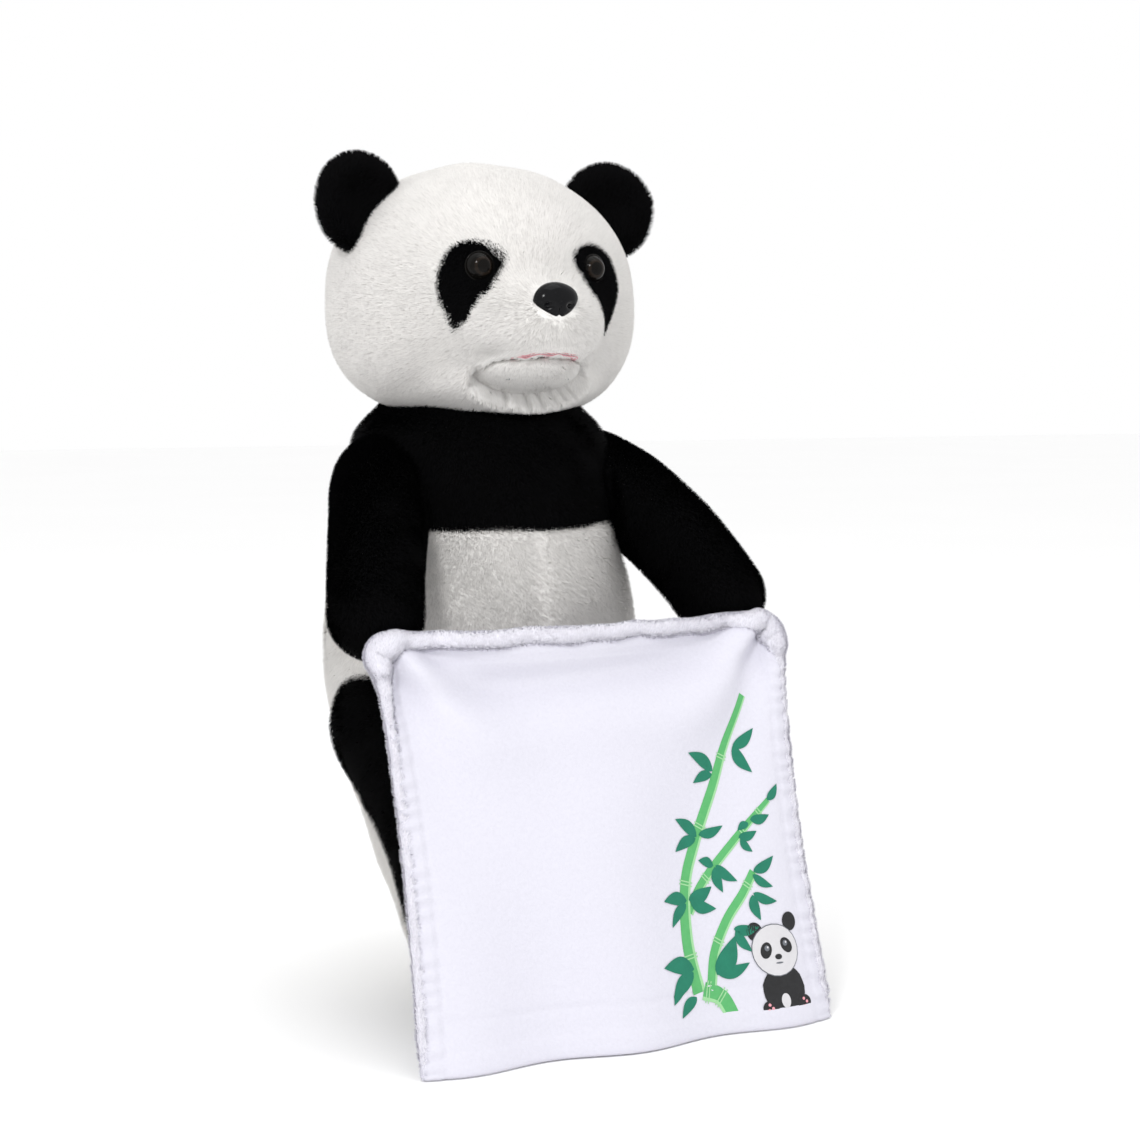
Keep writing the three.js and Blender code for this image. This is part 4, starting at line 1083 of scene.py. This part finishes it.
    def _well(self) -> None:
        """Cotton lining from the opening's rim to the battery box."""
        box_lo, box_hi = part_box("battery_box")
        x1 = box_hi[0] / MM + 0.4
        z0, z1 = box_lo[2] / MM - 0.4, box_hi[2] / MM + 2.0
        y1 = box_hi[1] / MM - 1.5
        rim = self.rim
        inner = rim.copy()
        inner[:, 0] = np.clip(rim[:, 0], -x1, x1)
        inner[:, 2] = np.clip(rim[:, 2], z0, z1)
        inner[:, 1] = y1
        rows = []
        for t in np.linspace(0, 1, 14):
            mix = rim * (1 - t) + inner * t
            away = rim[:, 2] - self.well_z
            mix[:, 2] += np.sign(away) * 1.2 * math.sin(t * math.pi) * (np.abs(away) > self.well_half)
            rows.append(mix)
        skin = np.array(rows)
        r, c = skin.shape[:2]
        centre = skin.mean((0, 1))
        outer = skin.copy()
        outer[..., 0] += np.sign(skin[..., 0] - centre[0]) * 0.6
        outer[..., 2] += np.sign(skin[..., 2] - centre[2]) * 0.6
        pts = np.vstack([skin.reshape(-1, 3), outer.reshape(-1, 3)])
        faces = ring_faces(r, c) + ring_faces(r, c, r * c)
        for j in range(c):
            k = (j + 1) % c
            for row in (0, (r - 1) * c):
                faces.append((row + j, row + k, r * c + row + k, r * c + row + j))
        obj = new_mesh("opening_lining", pts, faces, LINING)
        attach(obj, "torso")


@dataclass
class Limbs:
    """Arms that turn with the shoulder shaft, and legs."""

    fur: Fur

    def build(self) -> None:
        """Build both arms and both legs."""
        for side, tag in ((1, "left"), (-1, "right")):
            self._arm(side, tag)
            self._leg(side, tag)

    def _arm(self, side: int, tag: str) -> None:
        """Arm from the shoulder to the paw."""
        centres = [(43, -10.5, 183.5), (56, -38, 167.5), (67, -63, 142.5)]
        rings = limb(centres, [17.0, 16.2, 15.4], 60, 56)
        pts, faces = closed_rings(rings)
        wrist = bell(np.linalg.norm(pts - vec(64, -50, 151), axis=1), 16)
        pts = pts + (lumps(pts, 20, 12) * 0.7)[:, None] * vec(0.4, 0.5, 0.4)
        pts[:, 2] -= wrist * 0.6
        pts[:, 0] = np.where(pts[:, 1] < -30, np.maximum(pts[:, 0], 40), pts[:, 0])
        pts = pts * vec(side, 1, 1)
        obj = new_mesh(f"arm_plush_{tag}", pts, faces)
        self.fur.grow(obj, BLACK_PLUSH, Pile(2.7, 0.46, 4.6, 1.3, (0, -0.5, -0.6), 81 + side))
        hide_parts(f"arm_cover_{tag}", f"arm_stuffing_{tag}")
        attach(obj, "arms")

    def _leg(self, side: int, tag: str) -> None:
        """Bent leg from the hip to the foot."""
        centres = [(37.5, -16, 96), (36, -52, 64), (34, -80, 27)]
        rings = limb(centres, [26, 22.6, 24], 70, 64)
        pts, faces = closed_rings(rings)
        pts = pts + (lumps(pts, 26, 15) * 0.6)[:, None] * vec(0.4, 0.4, 0.4)
        low = pts[:, 2]
        pts[:, 2] = np.where(low < 6, 1.2 + 4.8 * np.exp((low - 6) / 5.0), low)
        pts[:, 0] = np.maximum(pts[:, 0], 1.6)
        pts = pts * vec(side, 1, 1)
        obj = new_mesh(f"leg_plush_{tag}", pts, faces)
        cover = np.clip(pts[:, 2] / 4, 0.1, 1) * np.clip((np.abs(pts[:, 0]) - 1.5) / 2, 0.1, 1)
        self.fur.grow(obj, BLACK_PLUSH, Pile(2.7, 0.46, 4.2, 1.3, (0, -0.3, -0.7), 91 + side), cover)
        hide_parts(f"leg_cover_{tag}", f"leg_stuffing_{tag}")
        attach(obj, "torso")


class Ink(Enum):
    """Printing inks, in the order of the print's material slots."""

    STEM = 0
    PALE = 1
    LEAF = 2
    BLACK = 3
    WHITE = 4
    GREY = 5
    PINK = 6


@dataclass
class Blanket:
    """Printed blanket with its fluffy border, hung from both paws."""

    fur: Fur
    width: float = 154.0
    drop: float = 138.0
    top_y: float = -82.0
    top_z: float = 138.0
    lean: float = 40.0
    bulge: float = 7.0
    thick: float = 2.2

    def at(self, s: np.ndarray, t: np.ndarray, lift: float = 0.0) -> np.ndarray:
        """Point of the cloth.

        Args:
            s: Distance from the middle towards the toy's left, in millimetres.
            t: Distance down from the top edge, in millimetres.
            lift: Height above the cloth's middle towards its front.

        Returns:
            Points in millimetres.
        """
        s, t = np.broadcast_arrays(np.asarray(s, float), np.asarray(t, float))
        u, v = s / (self.width / 2), t / self.drop
        x = s * (1 - 0.035 * np.sin(np.clip(v, 0, 1) * math.pi))
        z = self.top_z - t
        y = self.top_y - self.lean * v - self.bulge * (1 - u * u) * (1 - 0.35 * v)
        y = y - 2.4 * v * np.cos(u * math.pi * 2.5)
        for side in (-1, 1):
            dx, dz = (self.width / 2 - side * s), t + 4.0
            far = np.hypot(dx, dz)
            turn = np.arctan2(dx, dz)
            fan = np.sin(turn * 8.5 + (0.6 if side > 0 else 2.1))
            y = y - 4.6 * fan * step(2, 26, far) * np.exp(-far / 62)
        y = y + 4.6 * bell(t - 17 + 4 * u, 6.0) * (1 - u * u)
        y = y - 2.4 * bell(t - 33 + 5 * u, 10.0) * (1 - u * u)
        y = y + 0.35 * bell(t - 9.5, 0.9)
        hem = np.abs(s) - (self.width / 2 - 7.0)
        y = y + 0.45 * bell(hem, 0.8) * step(6, 14, t)
        y = y - 0.5 * np.sin(t * 1.15 + 2 * np.sin(t * 0.23)) * step(-3, 3, hem)
        y = y + 0.4 * bell(t - 122 - 0.02 * s, 0.8) * (np.abs(u) < 0.93)
        return np.stack([x, y - lift, z], -1)

    def build(self) -> None:
        cloth = self._cloth()
        extras = [self._border(), self._print()]

    def _cloth(self) -> bpy.types.Object:
        """The cloth as one thin closed sheet."""
        n_s, n_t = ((150, 136))
        wide, low = self.width / 2, self.drop - 0.6
        s, t = np.meshgrid(np.linspace(-wide, wide, n_s), np.linspace(1.5, low, n_t))
        edge = np.minimum(wide - np.abs(s), low - t)
        half = self.thick / 2 * (0.35 + 0.65 * np.sqrt(np.clip(edge / 1.6, 0, 1)))
        half = half + 0.45 * step(7.5, 6.0, edge)
        front, back = self.at(s, t, half), self.at(s, t, -half)
        pts, faces = slab(front, back)
        obj = new_mesh("blanket_sheet", pts, faces, CLOTH)
        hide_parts("blanket")
        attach(obj, "blanket")
        return obj

    def _border(self) -> bpy.types.Object:
        """Fluffy roll along the top edge that turns down at both corners."""
        down = np.linspace(self.drop - 1.5, 12, 70)
        bend = np.linspace(0, math.pi / 2, 16)[1:-1]
        side = np.stack([np.full(70, -76.0), down], -1)
        curl = np.stack([-76 + 8 * (1 - np.cos(bend)), 3.0 + 9 * (1 - np.sin(bend))], -1)
        across = np.stack([np.linspace(-68, 68, 64), np.full(64, 3.0)], -1)
        line = np.vstack([side, curl, across, (curl * vec(-1, 1))[::-1], (side * vec(-1, 1))[::-1]])
        s_at, t_at = np.abs(line[:, 0]), line[:, 1]
        r = 1.7 + 1.0 * step(14, 4, t_at) + 2.6 * np.exp(-(((s_at - 75) / 8) ** 2 + ((t_at - 7) / 9) ** 2))
        r[:5] *= np.linspace(0.3, 1, 5)
        r[-5:] *= np.linspace(1, 0.3, 5)
        pts, faces = closed_rings(swept(self.at(line[:, 0], line[:, 1]), r, 20, vec(0, -1, 0)))
        pts = pts + lumps(pts, 9, 19)[:, None] * vec(0.25, 0.4, 0.3)
        obj = new_mesh("blanket_border", pts, faces)
        self.fur.grow(obj, TRIM_PLUSH, Pile(1.5, 0.4, 6.5, 1.5, (0, -0.2, 0.5), 101, 1.0))
        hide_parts("blanket_trim")
        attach(obj, "blanket")
        return obj

    def _print(self) -> bpy.types.Object:
        """Bamboo and a small seated bear cub as thin ink on the cloth."""
        art = Artwork(self)
        art.draw()
        inks = (INK_GREEN, INK_PALE, INK_LEAF, INK_BLACK, INK_WHITE, INK_GREY, FELT)
        obj = new_mesh("blanket_print", np.array(art.points), art.faces, *inks)
        for poly, ink in zip(obj.data.polygons, art.inks):
            poly.material_index = ink
        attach(obj, "blanket")
        return obj


class Artwork:
    """Flat shapes drawn on the blanket, kept a little above its surface."""

    def __init__(self, cloth: Blanket) -> None:
        self.cloth = cloth
        self.points: list[list[float]] = []
        self.faces: Faces = []
        self.inks: list[int] = []

    def _lay(self, grid: np.ndarray, ink: Ink, level: int) -> None:
        """Lay a grid of cloth positions down as a thin film."""
        rows, cols = grid.shape[:2]
        lift = self.cloth.thick / 2 + 0.10 + 0.05 * level
        top = self.cloth.at(grid[..., 0], grid[..., 1], lift)
        base = len(self.points)
        self.points.extend(top.reshape(-1, 3).tolist())
        made = ring_faces(rows, cols, base, False)
        self.faces.extend(made)
        self.inks.extend([ink.value] * len(made))

    def stem(
        self, line: Sequence[tuple[float, float]], wide: Sequence[float], joints: Iterable[float]
    ) -> None:
        """A bamboo stem with pale rings.

        Args:
            line: Points along the stem, from the bottom up.
            wide: Width at the bottom and at the top.
            joints: Shares of the length where a ring is.
        """
        p = np.array(line, float)
        t = np.linspace(0, 1, 60)
        keys = np.linspace(0, 1, len(p))
        path = np.stack([hermite(keys, p[:, 0], t), hermite(keys, p[:, 1], t)], -1)
        d = unit(np.gradient(path, axis=0))
        side = np.stack([-d[:, 1], d[:, 0]], -1)
        w = wide[0] + (wide[1] - wide[0]) * t
        across = np.linspace(-0.5, 0.5, 4)
        grid = path[:, None] + side[:, None] * (w[:, None] * across)[..., None]
        self._lay(grid, Ink.STEM, 0)
        shine = path[:, None] + side[:, None] * (w[:, None] * np.linspace(0.30, 0.5, 2))[..., None]
        self._lay(shine, Ink.PALE, 1)
        for at in joints:
            for shift in (-0.55, 0.55):
                k = int(at * 59)
                mid = path[k] + d[k] * shift
                ring = np.array(
                    [
                        [mid + side[k] * w[k] * a * 0.62 + d[k] * b * 0.22 for a in (-1, -0.3, 0.3, 1)]
                        for b in (-1, 1)
                    ]
                )
                self._lay(ring, Ink.PALE, 2)

    def leaf(self, root: tuple[float, float], tip: tuple[float, float], wide: float, level: int = 3) -> None:
        """A pointed leaf from its root to its tip."""
        a, b = np.array(root, float), np.array(tip, float)
        b = a + (b - a) * 1.12
        d = b - a
        side = np.array([-d[1], d[0]]) / np.linalg.norm(d)
        t = np.linspace(0, 1, 14)
        w = 1.3 * wide * np.sin(np.clip(t, 0.002, 0.998) ** 0.75 * math.pi) ** 0.9 / 2
        path = a + d * t[:, None] + side * (0.08 * np.linalg.norm(d) * np.sin(t * math.pi))[:, None]
        grid = path[:, None] + side * (w[:, None] * np.linspace(-1, 1, 4))[..., None]
        self._lay(grid, Ink.LEAF, level)

    def spot(self, s: float, t: float, rs: float, rt: float, ink: Ink, level: int, turn: float = 0.0) -> None:
        """A filled ellipse."""
        a = np.linspace(0, 2 * math.pi, 25)
        rho = np.linspace(0.0, 1.0, 4)[:, None]
        x, y = rho * rs * np.cos(a), rho * rt * np.sin(a)
        c, k = math.cos(math.radians(turn)), math.sin(math.radians(turn))
        self._lay(np.stack([s + x * c - y * k, t + x * k + y * c], -1), ink, level)

    def draw(self) -> None:
        """Draw the whole motif."""
        stems = (
            (((25.5, 123), (23.5, 106), (26, 88), (33, 74), (43, 57), (50, 43), (59.5, 27.5)),
             (5.2, 3.0), (0.12, 0.35, 0.55, 0.78)),
            (((26, 97), (33, 88.5), (47.5, 76), (56, 69), (64, 63)), (3.6, 2.0), (0.3, 0.62, 0.85)),
            (((31, 121), (34, 111), (40.5, 101), (48, 93), (53.5, 86)), (3.8, 3.0), (0.35, 0.85)),
            (((27.5, 122.5), (34, 125.5), (37.5, 132.5)), (6.0, 5.4), (0.12, 0.5)),
        )
        for line, wide, joints in stems:
            self.stem(line, wide, joints)
        leaves = (
            ((43.5, 52), (34, 45.5), 3.4), ((43, 53), (35.5, 55), 2.8), ((53, 45), (61, 39.5), 3.0),
            ((53, 44.5), (58.5, 52.5), 3.4), ((33.5, 73), (26, 67), 3.2), ((33, 73.5), (24.5, 76.5), 3.0),
            ((34.5, 72.5), (43.5, 70.5), 2.6), ((25.5, 93), (16.5, 92), 3.4), ((25, 94), (18.5, 100), 2.8),
            ((26.5, 93), (35.5, 90), 3.6), ((27, 93.5), (36, 96.5), 3.4), ((38.5, 83), (33.5, 81), 2.6),
            ((39, 83.5), (40.5, 91), 3.0), ((39.5, 83), (46, 88), 2.8), ((63.5, 63), (68, 58.5), 2.4),
            ((55.5, 69), (62.5, 68), 2.6), ((54.5, 70), (50.5, 72), 2.0), ((50, 74.5), (56.5, 73), 2.4),
            ((50.5, 75), (54, 79), 2.2), ((53.5, 86), (61.5, 82), 2.8), ((53, 87), (59.5, 91), 2.4),
            ((51.5, 93.5), (53, 101), 3.0), ((52, 93), (60, 96), 2.6), ((42.5, 104), (51, 104), 2.8),
            ((43, 104.5), (47.5, 111), 2.8), ((33.5, 118), (41.5, 107.5), 5.2), ((34, 118), (45, 115.5), 3.2),
            ((24.5, 115), (13, 113), 4.4), ((24, 116), (15, 124), 4.2), ((24, 124), (17.5, 129), 3.0),
        )
        for root, tip, wide in leaves:
            self.leaf(root, tip, wide)
        self._cub(57.0, 112.0)

    def _cub(self, s: float, t: float) -> None:
        """A small seated cub: ears, head, face and body."""
        spots = (
            (-7.0, -6.5, 3.0, 3.1, Ink.BLACK, 3), (7.6, -8.6, 3.0, 3.1, Ink.BLACK, 3),
            (1.0, 13.0, 8.4, 8.0, Ink.BLACK, 3), (0.6, 16.6, 1.8, 2.4, Ink.WHITE, 4),
            (-5.6, 18.6, 3.0, 2.6, Ink.BLACK, 4), (8.2, 18.2, 2.9, 2.6, Ink.BLACK, 4),
            (-6.0, 17.4, 0.55, 0.5, Ink.PINK, 5), (-4.9, 18.6, 0.55, 0.5, Ink.PINK, 5),
            (-6.4, 19.2, 0.55, 0.5, Ink.PINK, 5), (8.0, 16.9, 0.55, 0.5, Ink.PINK, 5),
            (9.2, 18.0, 0.55, 0.5, Ink.PINK, 5), (8.0, 19.4, 0.55, 0.5, Ink.PINK, 5),
            (0.0, 0.0, 9.4, 8.6, Ink.GREY, 4), (0.0, 0.0, 9.1, 8.3, Ink.WHITE, 5),
            (-3.9, -0.2, 2.1, 2.8, Ink.BLACK, 6, 28), (4.5, -1.2, 2.1, 2.8, Ink.BLACK, 6, -38),
            (-3.5, -0.9, 0.95, 0.95, Ink.GREY, 7), (4.1, -1.9, 0.95, 0.95, Ink.GREY, 7),
            (-3.2, -1.2, 0.35, 0.35, Ink.WHITE, 8), (4.4, -2.2, 0.35, 0.35, Ink.WHITE, 8),
            (0.5, 2.2, 1.4, 0.9, Ink.BLACK, 7), (0.6, 4.2, 1.5, 0.3, Ink.GREY, 6),
        )
        for ds, dt, rs, rt, ink, level, *turn in spots:
            self.spot(s + ds, t + dt, rs, rt, ink, level, *turn)


class Mechanism:
    """Motors, gears, frames and battery parts carried over from the CAD model."""

    def dress(self) -> None:
        """Give every CAD node that is still shown its procedural finish."""
        slots = {part["node"]: part["material_slot"] for part in frame["record"]["subparts"]}
        for name, obj in frame["nodes"].items():
            if obj.hide_render:
                continue
            finish = SLOT_FINISHES.get(slots.get(name, ""), GREY_PLASTIC)
            if not obj.data.materials:
                obj.data.materials.append(finish.material())
            for k in range(len(obj.data.materials)):
                obj.data.materials[k] = finish.material()
            LOG.info("%s: %s", name, finish.name)


class Studio:
    """Pale floor, soft light and camera."""

    AZIMUTH = math.radians(-27)
    ELEVATION = math.radians(5)
    DISTANCE = 0.825
    SHIFT = 0.0339
    AIM_Z = 0.1495

    def build(self) -> None:
        """Build the stage."""
        self._floor()
        self._lights()
        self._camera()

    def _floor(self) -> None:
        """Large pale floor."""
        mesh = bpy.data.meshes.new("floor")
        far = 6.0
        corners = [(-far, -far, 0), (far, -far, 0), (far, far, 0), (-far, far, 0)]
        mesh.from_pydata(corners, [], [(0, 1, 2, 3)])
        floor = bpy.data.objects.new("floor", mesh)
        bpy.context.scene.collection.objects.link(floor)
        pale = Finish("floor_paper", (0.96, 0.96, 0.96), (0.985, 0.985, 0.985), 0.9, grain=3.0, relief=0.0)
        mesh.materials.append(pale.material())

    def _lights(self) -> None:
        """White surroundings with a soft key from the camera's left."""
        scene = bpy.context.scene
        world = bpy.data.worlds.new("studio")
        scene.world = world
        world.use_nodes = True
        back = world.node_tree.nodes["Background"]
        back.inputs["Color"].default_value = (1, 1, 1, 1)
        back.inputs["Strength"].default_value = 1.0
        for name, place, size, power, aim in (
            ("key", (-0.85, -0.95, 0.95), 0.24, 7.5, (0, 0, 0.18)),
            ("top", (0.1, -0.2, 1.3), 0.8, 2.6, (0, 0, 0.1)),
        ):
            data = bpy.data.lights.new(name, "AREA")
            data.size, data.energy = size, power
            lamp = bpy.data.objects.new(name, data)
            scene.collection.objects.link(lamp)
            lamp.location = place
            lamp.rotation_euler = (Vector(aim) - Vector(place)).to_track_quat("-Z", "Y").to_euler()
        scene.view_settings.view_transform = "Standard"

    def _camera(self) -> None:
        """Camera of the main view."""
        a, e = self.AZIMUTH, self.ELEVATION
        right = Vector((math.cos(a), math.sin(a), 0))
        back = Vector((math.sin(a) * math.cos(e), -math.cos(a) * math.cos(e), math.sin(e)))
        aim = right * self.SHIFT + Vector((0, 0, self.AIM_Z))
        data = bpy.data.cameras.new("camera")
        data.lens, data.sensor_width = 69.5, 36.0
        data.clip_start, data.clip_end = 0.02, 30.0
        camera = bpy.data.objects.new("camera", data)
        bpy.context.scene.collection.objects.link(camera)
        camera.location = aim + back * self.DISTANCE
        camera.rotation_euler = (-back).to_track_quat("-Z", "Y").to_euler()
        bpy.context.scene.camera = camera


def main() -> None:
    """Build every sub-assembly in order."""
    fur = Fur()
    for part in (Head(fur), Jaw(fur), Torso(fur), Limbs(fur), Blanket(fur)):
        part.build()
        LOG.info("built %s", type(part).__name__)
    Mechanism().dress()
    Studio().build()


if __name__ == "__main__":
    main()
